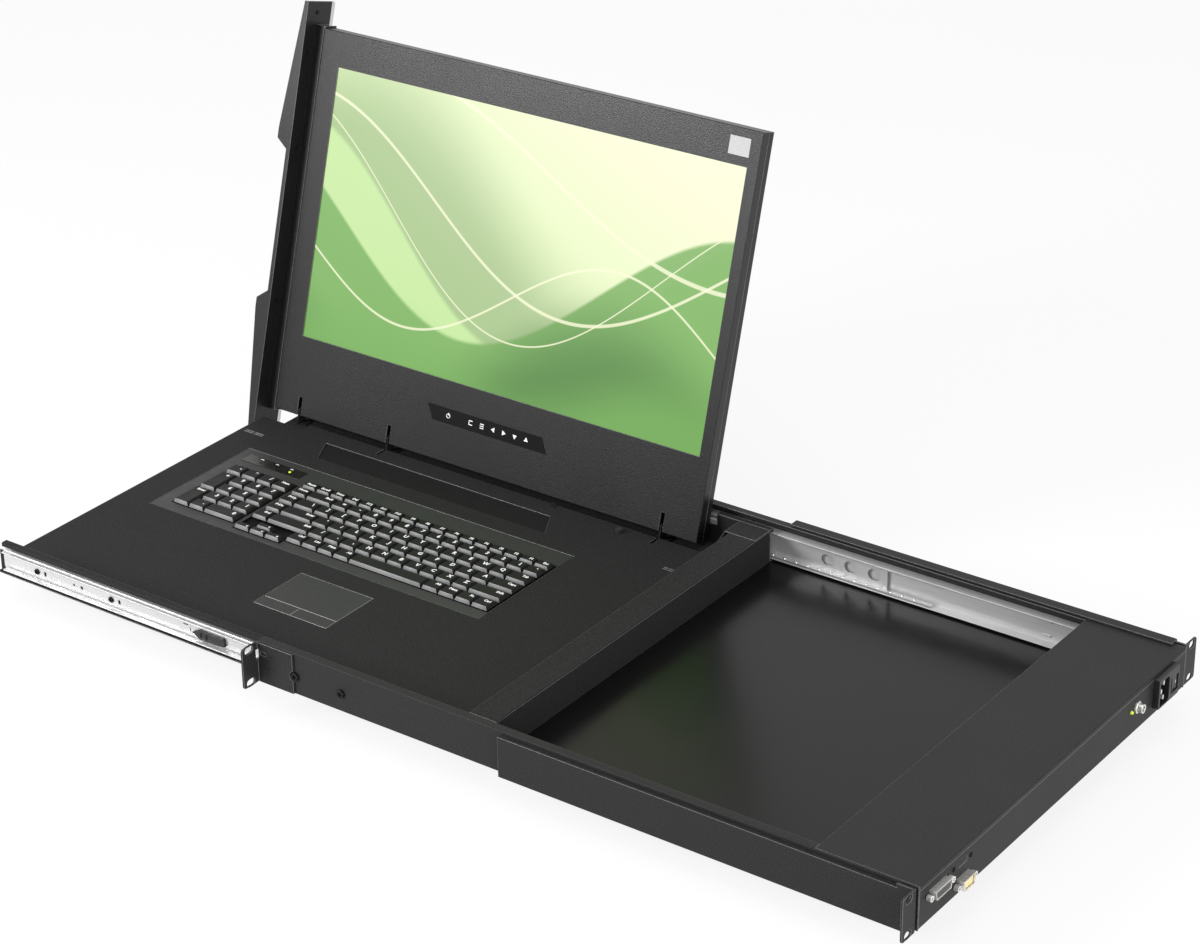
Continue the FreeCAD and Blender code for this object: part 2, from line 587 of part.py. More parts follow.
def rear_rim():
    """The raised box across the back of the tray, and its separate end cover behind the display's foot."""
    seam = -180.0
    top = box((seam, TRAY_X), (RIM_FRONT_Y, TRAY_REAR_Y), (RIM_Z - SHEET, RIM_Z))
    front = box((seam, TRAY_X), (RIM_FRONT_Y, RIM_FRONT_Y + SHEET), (PAN_Z + 1.0, RIM_Z - SHEET))
    end = box((seam, seam + SHEET), (RIM_FRONT_Y + SHEET, TRAY_REAR_Y - SHEET), (PAN_Z + 1.0, RIM_Z - SHEET))
    main = round_edges(fuse([top, front, end]), 0.9,
                       lambda c, t: abs(t.x) > 0.9 and c.y > TRAY_REAR_Y - 0.1 and c.z > RIM_Z - 0.1)
    slope = [(210.5, RIM_Z), (198.0, -6.0), (199.6, -6.0), (211.9, RIM_Z - SHEET),
             (TRAY_REAR_Y, RIM_Z - SHEET), (TRAY_REAR_Y, RIM_Z)]
    cover = prism(slope, "x", -TRAY_X, seam - 0.4)
    foot = box((-TRAY_X, seam - 0.4), (198.0, 199.6), (PAN_Z + 1.0, -6.0))
    return group([main, fuse([cover, foot])])


def cable_cover():
    z = (DECK_Z - SHEET - 1.0, DECK_Z - SHEET)
    return prism([(-159.0, -249.0), (-159.0, 33.0), (-123.0, 51.0), (-123.0, -235.0)], "z", *z)


def hinge_bracket(u):
    """An upright plate on the pan, with the eye that the display's pin turns in, and a foot beside it."""
    y = LCD_FRONT_Y + u
    pan = PAN_Z + 1.0
    side = [(-190.0, pan), (-178.6, pan), (-178.6, -12.6), (HINGE_X + HINGE_EYE, -6.0),
            (HINGE_X + HINGE_EYE, HINGE_Z), (HINGE_X - HINGE_EYE, HINGE_Z), (-190.0, -12.6)]
    plate = prism(side, "y", y - 1.0, y + 1.0)
    eye = rod(HINGE_EYE, HINGE_X, (y - 1.0, y + 1.0), HINGE_Z)
    foot = box((-190.0, -180.0), (y + 1.0, y + 9.0), (pan, pan + 1.4))
    bore = rod(PIN_R + 0.05, HINGE_X, (y - 2.0, y + 2.0), HINGE_Z)
    return cut(fuse([plate, eye, foot]), [bore])


def bumper():
    post = rod(3.6, -167.0, 102.0, (DECK_Z, DECK_Z + 4.0))
    return post.makeFillet(1.2, [e for e in post.Edges if e.CenterOfMass.z > DECK_Z + 3.9])


def drawer_screws():
    out = []
    for y in (-278.6, -186.8):
        s = pan_head(TRAY_SIDE_X + 1.2, y, -5.0, 2.8, (1, "x"), 1.2)
        out += [s, far(s)]
    return group(out)


def stop_tab():
    """A small bent stop beside the trough."""
    return fuse([box((-176.0, -172.0), (18.0, 23.0), (DECK_Z, DECK_Z + 0.8)),
                 box((-176.0, -175.2), (18.0, 23.0), (DECK_Z, DECK_Z + 3.2))])


NODES["drawer_pan"] = drawer_pan()
NODES["drawer_side_near"] = drawer_side(SIDE_FRONT_Y, -318.0)
NODES["drawer_side_far"] = far(drawer_side(NOTCH_Y, 186.0))
NODES["inner_slide_near"] = inner_slide()
NODES["inner_slide_far"] = far(inner_slide())
NODES["release_lever_near"] = release_lever()
NODES["release_lever_far"] = far(release_lever())
NODES["keyboard_deck"] = keyboard_deck()
NODES["rear_rim"] = rear_rim()
NODES["cable_cover"] = cable_cover()
NODES["hinge_brackets"] = group([hinge_bracket(u) for u in HINGE_U] + [stop_tab()])
NODES["rubber_bumper"] = bumper()
NODES["drawer_screws"] = drawer_screws()

# ---------------------------------------------------------------- keyboard

BASE_TOP = -15.3
MAIN_Y = (-200.8, 93.4)       # the main block's first and last key edges
PAD_COLUMNS = [-283.2, -264.0, -245.0, -226.0]
NUMPAD_END = -207.6
ROW_END_X = [-67.9, -51.7, -33.1, -14.5, 4.1, 22.7]    # near edge of each row, far row first
FUNCTION_DEPTH = 11.4
NUMBER_DEPTH = 15.5
ARROW_DEPTH = 8.4
STEM, GUIDE, BOSS = 1.2, 1.35, 2.0     # half-widths of a key's stem, its guide hole and the boss round it
PITCH = 18.9


def spread(first, widths):
    """Turn a first edge and a list of widths into (low, high) pairs along the row."""
    out = []
    at = first
    for w in widths:
        out.append((at, at + w))
        at += w
    return out


def main_rows():
    """Each row as (near edge, depth, spans along Y), from the far row to the near row."""
    start, end = MAIN_Y
    nav = 18.6
    length = end - start
    rows = [(ROW_END_X[0], FUNCTION_DEPTH, spread(start, [length / 17] * 17))]
    for i, (wide, count) in enumerate(((30.8, 12), (25.2, 12), (38.2, 11), (49.6, 10))):
        last = length - nav - wide - count * PITCH
        depth = NUMBER_DEPTH if i == 0 else ROW_DEPTH
        rows.append((ROW_END_X[i + 1], depth, spread(start, [nav, wide] + [PITCH] * count + [last])))
    arrows = 3 * nav + 2.0
    space = length - arrows - 8 * PITCH
    bottom = spread(start + arrows, [PITCH] * 4 + [space] + [PITCH] * 4)
    rows.append((ROW_END_X[5], ROW_DEPTH, bottom))
    return rows


def arrow_keys():
    """Three small keys in a row, and one above the middle one."""
    y = spread(MAIN_Y[0], [18.6] * 3)
    near, above = ROW_END_X[5] + 6.6, ROW_END_X[5] - 3.0
    return [(near, ARROW_DEPTH, y), (above, ARROW_DEPTH, [y[1]])]


def numpad_keys():
    """(near edge, depth, spans) of the numeric block, with its two tall keys and its wide one."""
    w = PAD_COLUMNS[1] - PAD_COLUMNS[0]
    cols = [(c, c + w) for c in PAD_COLUMNS]
    tall = ROW_DEPTH + ROW_PITCH
    return [(ROW_END_X[1], ROW_DEPTH, cols),
            (ROW_END_X[3], tall, cols[:1]),
            (ROW_END_X[2], ROW_DEPTH, cols[1:]),
            (ROW_END_X[3], ROW_DEPTH, cols[1:]),
            (ROW_END_X[5], tall, cols[:1]),
            (ROW_END_X[4], ROW_DEPTH, cols[1:]),
            (ROW_END_X[5], ROW_DEPTH, [cols[1], (cols[2][0], cols[3][1])])]


def key(near, depth, span):
    """One key cap: tapered, hollow, on a square stem that runs in a boss on the keyboard base."""
    x0, x1 = near - depth, near
    y0, y1 = span[0] + KEY_GAP / 2, span[1] - KEY_GAP / 2
    bottom = KEY_TOP_Z - KEY_H
    lean = min(4.2, depth * 0.24)
    cap = frustum((x0, x1, y0, y1, bottom), (x0 + lean, x1 - 1.1, y0 + 1.5, y1 - 1.5, KEY_TOP_Z))
    hollow = box((x0 + lean, x1 - 1.6), (y0 + 1.9, y1 - 1.9), (bottom, KEY_TOP_Z - 1.2))
    cx, cy = stem_at(near, depth, span)
    stem = box((cx - STEM, cx + STEM), (cy - STEM, cy + STEM), (-14.8, KEY_TOP_Z - 1.2))
    return fuse([cut(cap, [hollow]), stem])


def stem_at(near, depth, span):
    lean = min(4.2, depth * 0.24)
    return (near - depth + lean + near - 1.6) / 2, (span[0] + span[1]) / 2


def keys(rows):
    return group([key(near, depth, span) for near, depth, spans in rows for span in spans])


def keyboard_base():
    """The keyboard's plate and bezel: windows round the key blocks, and a boss with a guide hole per key."""
    plate = box(KB_X, KB_Y, (PAN_Z + 1.0, BASE_TOP))
    frame = box(KB_X, KB_Y, (BASE_TOP, DECK_Z))
    main = box((ROW_END_X[0] - FUNCTION_DEPTH - 1.2, ROW_END_X[5] + 1.2), (MAIN_Y[0] - 1.0, MAIN_Y[1] + 1.0),
               (BASE_TOP, DECK_Z + 1))
    arrows = box((0.0, ROW_END_X[5] + 7.8), (MAIN_Y[0] - 1.0, MAIN_Y[0] + 57.0), (BASE_TOP, DECK_Z + 1))
    numpad = box((ROW_END_X[1] - ROW_DEPTH - 1.2, ROW_END_X[5] + 1.2),
                 (PAD_COLUMNS[0] - 1.2, NUMPAD_END + 1.4), (BASE_TOP, DECK_Z + 1))
    bosses, holes = [], []
    for near, depth, spans in main_rows() + arrow_keys() + numpad_keys():
        for span in spans:
            cx, cy = stem_at(near, depth, span)
            bosses.append(box((cx - BOSS, cx + BOSS), (cy - BOSS, cy + BOSS), (BASE_TOP, -12.8)))
            holes.append(box((cx - GUIDE, cx + GUIDE), (cy - GUIDE, cy + GUIDE), (PAN_Z + 1.0, -12.8)))
    body = cut(fuse([plate, frame]), [main, arrows, numpad])
    return cut(fuse([body] + bosses), holes)


LED_X = (-94.6, -80.6)
LED_Y = (-288.6, -215.6)
LEDS = [(-86.0, -268.6), (-86.0, -249.8), (-86.0, -231.1)]


def led_strip():
    strip = box(LED_X, LED_Y, (DECK_Z, DECK_Z + 0.5))
    return fuse([strip] + [rod(1.3, x, y, (DECK_Z + 0.5, DECK_Z + 1.0)) for x, y in LEDS])


def keyboard_board():
    return fuse([box((-150, -110), (120, 200), (-16.4, -15.2)),
                 rod(2.0, -145, 128, (PAN_Z + 1.0, -16.4)), rod(2.0, -115, 192, (PAN_Z + 1.0, -16.4)),
                 box((-140, -126), (140, 154), (-15.2, -14.4))])


ROWS = main_rows()
NODES["keyboard_base"] = keyboard_base()
NODES["led_strip"] = led_strip()
NODES["keyboard_board"] = keyboard_board()
NODES["keys_function_row"] = keys(ROWS[:1])
NODES["keys_number_row"] = keys(ROWS[1:2])
NODES["keys_letter_rows"] = keys(ROWS[2:5])
NODES["keys_bottom_row"] = keys(ROWS[5:] + arrow_keys())
NODES["keys_numpad"] = keys(numpad_keys())


def touchpad():
    base = box(PAD_X, PAD_Y, (PAN_Z + 1.0, -15.6))
    pad = box((PAD_X[0], PAD_SPLIT_X), PAD_Y, (-15.6, DECK_Z - 0.2))
    return fuse([base, pad])


def pad_button(y):
    return box((PAD_SPLIT_X + 0.3, PAD_X[1]), y, (-14.9, DECK_Z - 0.2))


PAD_MIDDLE = (PAD_Y[0] + PAD_Y[1]) / 2
NODES["touchpad"] = touchpad()
NODES["touchpad_button_front"] = pad_button((PAD_Y[0], PAD_MIDDLE - 0.2))
NODES["touchpad_button_rear"] = pad_button((PAD_MIDDLE + 0.2, PAD_Y[1]))

# ---------------------------------------------------------------- display, in its own (w, u, v) space


def hinge_slots():
    return [box((-11.0, 1.0), (u - HINGE_SLOT, u + HINGE_SLOT), (-1.0, HINGE_SLOT_TOP)) for u in HINGE_U]


def lcd_bezel():
    face = box((-SHEET, 0), (0, LCD_LENGTH), (0, LCD_HEIGHT))
    skirt = cut(box((-10.0, -SHEET), (0, LCD_LENGTH), (0, LCD_HEIGHT)),
                [box((-10.0, -SHEET), (SHEET, LCD_LENGTH - SHEET), (SHEET, LCD_HEIGHT - SHEET))])
    shell = fuse([face, skirt])
    shell = round_edges(shell, 0.9, lambda c, t: c.x > -0.1 and (
        c.y < 0.1 or c.y > LCD_LENGTH - 0.1 or c.z > LCD_HEIGHT - 0.1 or c.z < 0.1))
    window = box((-SHEET - 1, 1), SCREEN_U, SCREEN_V)
    return cut(shell, [window] + hinge_slots())


def lcd_back_cover():
    solid = box((-LCD_T, -10.0), (0, LCD_LENGTH), (0, LCD_HEIGHT))
    solid = round_edges(solid, 2.2, lambda c, t: c.x < -LCD_T + 0.1)
    hollow = box((-LCD_T + SHEET, -10.0), (SHEET, LCD_LENGTH - SHEET), (SHEET, LCD_HEIGHT - SHEET))
    vents = []
    for k in range(14):
        u = 150 + 15 * k
        vents.append(box((-LCD_T - 1, -LCD_T + SHEET + 1), (u, u + 3), (330, 352)))
    return cut(solid, [hollow] + vents + hinge_slots())


def lcd_panel():
    return box((-8.2, -SHEET), (SCREEN_U[0] - 3, SCREEN_U[1] + 3), (SCREEN_V[0] - 3, SCREEN_V[1] + 3))


def osd_strip():
    outline = [(187.0, 53.0), (324.4, 53.0), (331.8, 38.0), (195.2, 38.0)]
    return prism(outline, "x", 0, 0.35)


def lcd_board():
    board = box((-13.2, -11.8), (170, 350), (110, 210))
    posts = [rod(2.5, (-11.8, -8.2), u, v) for u in (178, 342) for v in (118, 202)]
    chips = [box((-16.0, -13.2), (200, 226), (150, 176)), box((-15.4, -13.2), (260, 330), (120, 128))]
    return fuse([board] + posts + chips)


def hinge_leaves():
    leaves = []
    near, bend = HINGE_SLOT + 0.2, HINGE_SLOT + 2.2
    for u in HINGE_U:
        for s in (-1, 1):
            leaf = box((-9.4, -SHEET), tuple(sorted((u + s * near, u + s * bend))), (SHEET, 24.0))
            foot = box((-3.0, -SHEET), tuple(sorted((u + s * bend, u + s * 12.0))), (SHEET, 24.0))
            leaves.append(cut(fuse([leaf, foot]), [rod(PIN_R, HINGE_W, (u - 20, u + 20), HINGE_V)]))
    return group(leaves)


def hinge_pins():
    return group([rod(PIN_R, HINGE_W, (u - 5.6, u + 5.6), HINGE_V) for u in HINGE_U])


MOUNT_V = (-2.6, 385.5)


def fascia_mount():
    """The U-shaped bracket between the display's front end and the fascia."""
    face = box((-1.5, 0), (FASCIA_REAR_U, -0.8), MOUNT_V)
    inner = box((-18.0, -1.5), (-1.5, 0), MOUNT_V)
    step = box((-1.5, -1.2), (-1.5, 0), MOUNT_V)
    outer = box((-18.0, -1.5), (FASCIA_REAR_U, FASCIA_REAR_U + 1.5), MOUNT_V)
    return fuse([face, inner, step, outer])


def fascia_bracket():
    """The black backing: a shallow channel with a lip along its lower edge that widens into two grips."""
    v0, v1 = FASCIA_V
    w0, w1 = -19.8, FASCIA_W[1]
    rear = box((w0, w1), (FASCIA_REAR_U - SHEET, FASCIA_REAR_U), (v0, v1))
    upper = box((w0, w0 + SHEET), (FASCIA_FRONT_U + 2.0, FASCIA_REAR_U - SHEET), (v0, v1))
    inner_u = (FASCIA_FRONT_U + 2.0, FASCIA_REAR_U - SHEET)
    ends = [box((w0, w1), inner_u, z) for z in ((v0, v0 + SHEET), (v1 - SHEET, v1))]
    u = FASCIA_REAR_U
    edge = FASCIA_FRONT_U
    grip = [(u, v0), (edge - 2.0, v0), (-28.4, 99.0), (-28.4, 109.0), (edge, 118.5), (edge, 261.0),
            (-28.0, 270.0), (-28.0, 281.0), (edge - 0.1, v1), (u, v1)]
    lip = prism(grip, "x", w1, w1 + 1.5)
    return fuse([rear, upper, lip] + ends)


def fascia_front():
    plate = box(FASCIA_W, (FASCIA_FRONT_U, FASCIA_FRONT_U + 2.0), FASCIA_V)
    return round_edges(plate, 3.0, lambda c, t: abs(t.y) > 0.9 and c.x < FASCIA_W[0] + 0.1)


def lcd_screws():
    out = []
    for v, w in ((356.8, 9.8), (262.8, 7.6), (109.0, 7.6)):
        out.append(pan_head(w, FASCIA_REAR_U, v, 1.7, (1, "y"), 0))
    out.append(rod(2.2, 0.8, (FASCIA_REAR_U, FASCIA_REAR_U + 0.8), 396.7))
    return group(out)


for name, maker in (("lcd_bezel", lcd_bezel), ("lcd_back_cover", lcd_back_cover), ("lcd_panel", lcd_panel),
                    ("osd_strip", osd_strip), ("lcd_board", lcd_board), ("hinge_leaves", hinge_leaves),
                    ("hinge_pins", hinge_pins), ("fascia_mount", fascia_mount), ("fascia_bracket", fascia_bracket),
                    ("fascia_front", fascia_front), ("lcd_screws", lcd_screws)):
    NODES[name] = on_display(maker())

# ---------------------------------------------------------------- write the parts

os.makedirs("parts", exist_ok=True)
for name, shape in NODES.items():
    shape.exportStep("parts/%s.step" % name)
print(len(NODES), "parts", sum(len(s.Solids) for s in NODES.values()), "solids")
for name, shape in NODES.items():
    if not shape.isValid() or not shape.Solids:
        print("check", name, shape.isValid(), len(shape.Solids))
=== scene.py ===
"""Rackmount LCD console drawer: the finished surfaces, key caps, marks and ports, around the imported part.

Lengths below are in millimetres and are turned to metres with MM. +X is the near side, where the user stands,
-Y is the front of the rack and +Z is up.
"""
import json
import math

import bmesh
import bpy
from bpy.props import FloatProperty, FloatVectorProperty, PointerProperty
from mathutils import Matrix, Vector


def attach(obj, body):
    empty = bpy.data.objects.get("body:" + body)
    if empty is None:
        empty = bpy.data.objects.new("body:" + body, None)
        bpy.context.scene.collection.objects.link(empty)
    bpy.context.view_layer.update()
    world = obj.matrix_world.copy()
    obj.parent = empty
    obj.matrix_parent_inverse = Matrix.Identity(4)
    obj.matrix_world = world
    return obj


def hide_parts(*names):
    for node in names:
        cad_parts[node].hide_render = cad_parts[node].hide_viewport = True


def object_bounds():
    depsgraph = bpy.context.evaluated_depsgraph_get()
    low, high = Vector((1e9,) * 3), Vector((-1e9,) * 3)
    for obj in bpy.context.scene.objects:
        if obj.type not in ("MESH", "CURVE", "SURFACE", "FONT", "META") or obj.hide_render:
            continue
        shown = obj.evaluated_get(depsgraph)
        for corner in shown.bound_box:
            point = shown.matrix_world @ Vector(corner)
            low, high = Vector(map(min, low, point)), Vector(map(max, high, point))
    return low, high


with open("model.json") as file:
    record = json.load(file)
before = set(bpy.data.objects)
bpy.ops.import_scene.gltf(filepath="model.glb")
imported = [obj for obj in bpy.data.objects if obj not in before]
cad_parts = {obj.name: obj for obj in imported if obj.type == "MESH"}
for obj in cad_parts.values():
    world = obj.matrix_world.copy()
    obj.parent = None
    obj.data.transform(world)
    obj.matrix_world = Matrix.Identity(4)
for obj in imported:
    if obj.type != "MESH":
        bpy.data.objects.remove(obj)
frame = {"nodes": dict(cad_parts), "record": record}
CAD_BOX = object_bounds()

bl_info = {
    "name": "Rack Console Drawer",
    "version": (1, 0, 0),
    "blender": (4, 5, 0),
    "location": "3D View > Sidebar > Console",
    "description": "Dresses a rackmount LCD console drawer: sheet metal, slides, keys, display and ports",
    "category": "Object",
}

MM = 0.001
RECORD = frame["record"]
BODY_OF = {node: body for body, nodes in RECORD["behaviour"]["bodies"].items() for node in nodes}
SLOT_OF = {part["node"]: part["material_slot"] for part in RECORD["subparts"]}

# The display's own axes: w out of its face, u along the hinge from the front end, v up the screen
TILT = 16.0
HINGE = Vector((-184.73, -332.0, -4.34)) * MM
HINGE_IN_DISPLAY = Vector((-2.8, 0.0, 4.5)) * MM
ON_DISPLAY = (Matrix.Translation(HINGE) @ Matrix.Rotation(math.radians(-TILT), 4, "Y")
              @ Matrix.Translation(-HINGE_IN_DISPLAY))
UP_SCREEN = Vector((-math.sin(math.radians(TILT)), 0.0, math.cos(math.radians(TILT))))
OUT_OF_SCREEN = Vector((math.cos(math.radians(TILT)), 0.0, math.sin(math.radians(TILT))))
LIT_DEPTH = -1.7 * MM         # the panel glows only in front of this depth
SCREEN_U = (22.8, 499.3)
SCREEN_V = (80.0, 349.0)
BUTTON_V = 45.8               # the middle of the symbols on the button strip
POWER_U = 213.3
CORNER_U = (238.2, 242.6)
BARS_U = (251.9, 256.4)
ARROWS = ((267.8, 180), (280.0, 0), (293.5, -90), (307.0, 90))   # u, and the way that each points in degrees
PRINT_W = (0.36, 0.44)        # the film of ink on the strip
STROKE = 0.45                 # half the thickness of a symbol's bars
BAR_STEP = 1.95               # from the middle bar to the next
RING_RADIUS = 2.0
RING_WIRE = 0.42
ARROW_RADIUS = 2.8
LABEL_W = (0.02, 0.14)
LABEL_U = (477.3, 499.5)
LABEL_V = (358.0, 375.0)

# Keyboard, as in the part
KEY_TOP = -9.0
KEY_HEIGHT = 3.8
STEM_END = -14.8
KEY_WELL_Z = -13.6            # below this, the keyboard's wells round the keys are painted dark as shade
STEM_HALF = 1.2
KEY_GAP = 1.2
ROW_PITCH = 18.6
ROW_DEPTH = 17.3
FUNCTION_DEPTH = 11.4
NUMBER_DEPTH = 15.5
ARROW_DEPTH = 8.4
PITCH = 18.9
NAV = 18.6
ROW_NEAR = (-67.9, -51.7, -33.1, -14.5, 4.1, 22.7)
MAIN_Y = (-200.8, 93.4)
ARROW_NEAR = ROW_NEAR[5] + 6.6
UP_ARROW_NEAR = ROW_NEAR[5] - 3.0
ARROW_GAP = 2.0               # between the arrow keys and the rest of their row
PAD_COLUMNS = (-283.2, -264.0, -245.0, -226.0)
LEAN_MOST = 4.2               # how far a cap's far side leans in at the top
LEAN_SHARE = 0.24             # the same as a share of a shallow key's depth
NEAR_LEAN = 1.1
TOP_NARROWER = 3.0
CAP_RIM = 0.9
DISH_SLOPE = 1.2
UNDER_RIM = 1.0
STEM_SHIFT = 1.6
LEGEND_IN = 1.4               # from the cap's top edge to its legend
LEGEND_SIDE = (0.9, 3.0)      # from the cap's right edge to a small and to a big legend
LEGEND_ABOVE = 0.03
INK_THICKNESS = 0.02

# Lamp strip beside the keys
LAMP_MARK_X = (-92.6, -91.4)
LAMP_MARK_Y = (-270.8, -251.9, -233.3)
LAMP_MARK_Z = (-12.5, -12.46)
LAMP_MARK_HALF = 1.9
LAMP_AT = (-86.0, -231.1, -12.1)
LAMP_RADIUS = 1.35
LAMP_HEIGHT = 0.5

# Rear panel
REAR_Y = 654.5
VIDEO_AT = (191.7, 4.6)
DATA_AT = (153.6, -9.4)
SHELL_TAPER = 1.6             # what the lower corners of a D shell come in by
SHELL_WALL = 0.6
MOUTH_DEPTH = 4.5
INSERT_BEHIND = 1.6           # from the shell's rim to the insert's face
SOCKET_HOLE_RADIUS = 0.42
NUT_RADIUS = 2.9
NUT_HEIGHT = 4.4
NUT_WALL = 1.3
NUT_HOLE = 3.0
INLET_X = (-179.6, -163.6)
INLET_Z = (-10.5, 13.1)
INLET_PINS = ((-2, 7), (-2, -7), (2, 0))      # from the middle of the inlet
PIN_HALF = (1.05, 2.05)
PIN_ENDS = (-5.0, 3.56)
ROCKER_AT = (-189.9, 657.0, 0.5)
ROCKER_REST = 6               # the rocker's tip at rest in degrees
ROCKER_MARK = ((-3.6, -3.0), (2.2, 2.3), (-1.6, 1.6))

# Roundings of the small parts, in metres. A slide's edges take a share of the sheet's rounding
SLIDE_SHARE = 0.8
FINE_EDGE = 0.15 * MM
PORT_EDGE = 0.2 * MM
INLET_EDGE = 0.3 * MM

# How a solid's mesh is cleaned and rounded; angles in degrees
WELD = 0.002 * MM
FLAT_ANGLE = 0.5
ROUND_ANGLE = 32
ROUND_STEPS = 2

# Noise in the finishes: its detail, and the part of its range that is spread between the two ends
NOISE_DETAIL = 2.0
NOISE_RANGE = (0.3, 0.7)

# Stage. The floor and the lamps are in metres and watts; the camera's place is in millimetres, as above
FLOOR_SIZE = 60
FLOOR_GAP = 0.002
FLOOR_GLOW = 0.85
FILL_LIGHT = 0.5
SOFTBOXES = (("overhead_softbox", (0.2, 0.5, 2.6), (0, 0.1, 0), 2.0, 22.0),      # place, aim, size and power
             ("front_softbox", (1.75, -1.4, 1.12), (-0.1, 0.0, 0.1), 0.8, 55.0),
             ("rear_softbox", (0.9, 2.9, 0.5), (0.0, 0.4, 0.0), 1.2, 50.0))
CAMERA_AT = (1976.767, 1649.4, 1379.148)
CAMERA_TURN = (126.1933, 26.694, -0.7322)     # azimuth, elevation and roll in degrees
CAMERA_LENS = 96.459
CAMERA_SENSOR = 36.0
CAMERA_FAR = 100.0            # in metres


def linear(code):
    """An sRGB hex colour as the linear values that the shaders take."""
    values = [int(code[i:i + 2], 16) / 255 for i in (1, 3, 5)]
    return tuple(v / 12.92 if v <= 0.04045 else ((v + 0.055) / 1.055) ** 2.4 for v in values) + (1.0,)


def colour(label, note, code):
    return FloatVectorProperty(name=label, description=note, subtype="COLOR", size=4, min=0, max=1,
                               default=linear(code))


def length(label, note, mm):
    return FloatProperty(name=label, description=note, unit="LENGTH", precision=5, min=0, default=mm * MM)


class ConsoleSizes(bpy.types.PropertyGroup):
    sheet_edge: length("Sheet edge", "Rounding of the cut and folded sheet edges under the coat", 0.35)
    moulded_edge: length("Moulded edge", "Rounding of moulded plastic edges", 0.35)
    key_edge: length("Key edge", "Rounding of a key cap's edges", 0.35)
    key_dish: length("Key dish", "Depth of the dish in a key cap", 0.1)
    legend: length("Legend", "Height of the type on the letter keys", 6.4)
    small_legend: length("Small legend", "Height of the type on the other keys", 4.4)
    ink_spread: FloatProperty(name="Ink spread", min=0, default=0.042,
                              description="How far the ink thickens the type, as a share of its height")
    grain: length("Coat grain", "Size of the grain in the powder coat", 1.1)
    screen_level: FloatProperty(name="Screen level", min=0, default=1.0,
                                description="How bright the lit screen is")


class ConsoleColours(bpy.types.PropertyGroup):
    coat: colour("Powder coat", "Chassis, tray and brackets", "#242424")
    bezel: colour("Display coat", "Display bezel and back", "#181818")
    key: colour("Key plastic", "Key caps", "#161616")
    legend: colour("Legend", "Print on the keys", "#f2f2f2")
    zinc: colour("Zinc plate", "Slides", "#cbcbcb")
    aluminium: colour("Aluminium", "Fascia", "#d0d1d3")
    nickel: colour("Nickel", "Port shells, nuts and jack", "#e4e3e0")
    cream: colour("Cream insert", "Insert of the narrow port", "#ecd9a4")
    rubber: colour("Rubber", "Bumper", "#161616")
    label: colour("Label", "Blank label on the bezel", "#b4b4b4")
    lamp: colour("Lamp", "Status lamps when lit", "#b9d43a")
    leaf_dark: colour("Screen dark green", "Deepest green of the picture", "#3a7a14")
    leaf_mid: colour("Screen green", "Middle green of the picture", "#6aa843")
    leaf_light: colour("Screen light green", "Light green of the picture", "#c5e89c")
    leaf_pale: colour("Screen cream", "Palest part of the picture", "#f1f3cd")


# ------------------------------------------------------------------ materials

def add(tree, kind, settings=None, links=None):
    """Add a node. Lower-case settings are its attributes and the others are values of its sockets.
    Links join its sockets to the outputs of other nodes."""
    made = tree.nodes.new(kind)
    for key, value in (settings or {}).items():
        if isinstance(key, str) and key[0].islower():
            setattr(made, key, value)
        else:
            made.inputs[key].default_value = value
    for key, source in (links or {}).items():
        output = source if isinstance(source, bpy.types.NodeSocket) else source.outputs[0]
        tree.links.new(output, made.inputs[key])
    return made


def new_material(name):
    made = bpy.data.materials.new(name)
    made.use_nodes = True
    shader = made.node_tree.nodes["Principled BSDF"]
    place = add(made.node_tree, "ShaderNodeTexCoord").outputs["Object"]
    return made, made.node_tree, shader, place


def shade(base, factor):
    """A colour made darker or lighter by a factor."""
    return tuple(min(1.0, c * factor) for c in base[:3]) + (1.0,)


def mottle(tree, place, size_mm, low, high, shader_socket, colours=None, stretch=None):
    """Noise of that grain size, spread between two values or two colours, into a shader socket."""
    vector = place
    if stretch:
        vector = add(tree, "ShaderNodeMapping", {"Scale": stretch}, {"Vector": place}).outputs[0]
    noise = add(tree, "ShaderNodeTexNoise", {"Scale": 1 / (size_mm * MM), "Detail": NOISE_DETAIL},
                {"Vector": vector})
    share = add(tree, "ShaderNodeMapRange",
                {"From Min": NOISE_RANGE[0], "From Max": NOISE_RANGE[1], "To Min": low, "To Max": high},
                {"Value": noise})
    if colours is None:
        tree.links.new(share.outputs[0], shader_socket)
        return noise
    mix = add(tree, "ShaderNodeMix", {"data_type": "RGBA", 6: colours[0], 7: colours[1]}, {0: share})
    tree.links.new(mix.outputs[2], shader_socket)
    return noise


def roughen(tree, noise, shader, strength, depth_mm):
    bump = add(tree, "ShaderNodeBump", {"Strength": strength, "Distance": depth_mm * MM}, {"Height": noise})
    tree.links.new(bump.outputs[0], shader.inputs["Normal"])


def powder_coat(name, base, grain, rough, strength=0.6, gloss=0.18):
    """Polyester powder, sprayed and baked: a fine orange peel that spreads reflections into a soft sheen.
    The real grain is about 0.3 mm. It is drawn coarser, because that is too fine to show."""
    made, tree, shader, place = new_material(name)
    noise = mottle(tree, place, grain / MM, 0.0, 1.0, shader.inputs["Base Color"],
                   (shade(base, 0.5), shade(base, 1.5)))
    mottle(tree, place, 70, rough - 0.015, rough + 0.02, shader.inputs["Roughness"])
    roughen(tree, noise, shader, strength, 0.25)
    shader.inputs["Specular IOR Level"].default_value = gloss
    return made


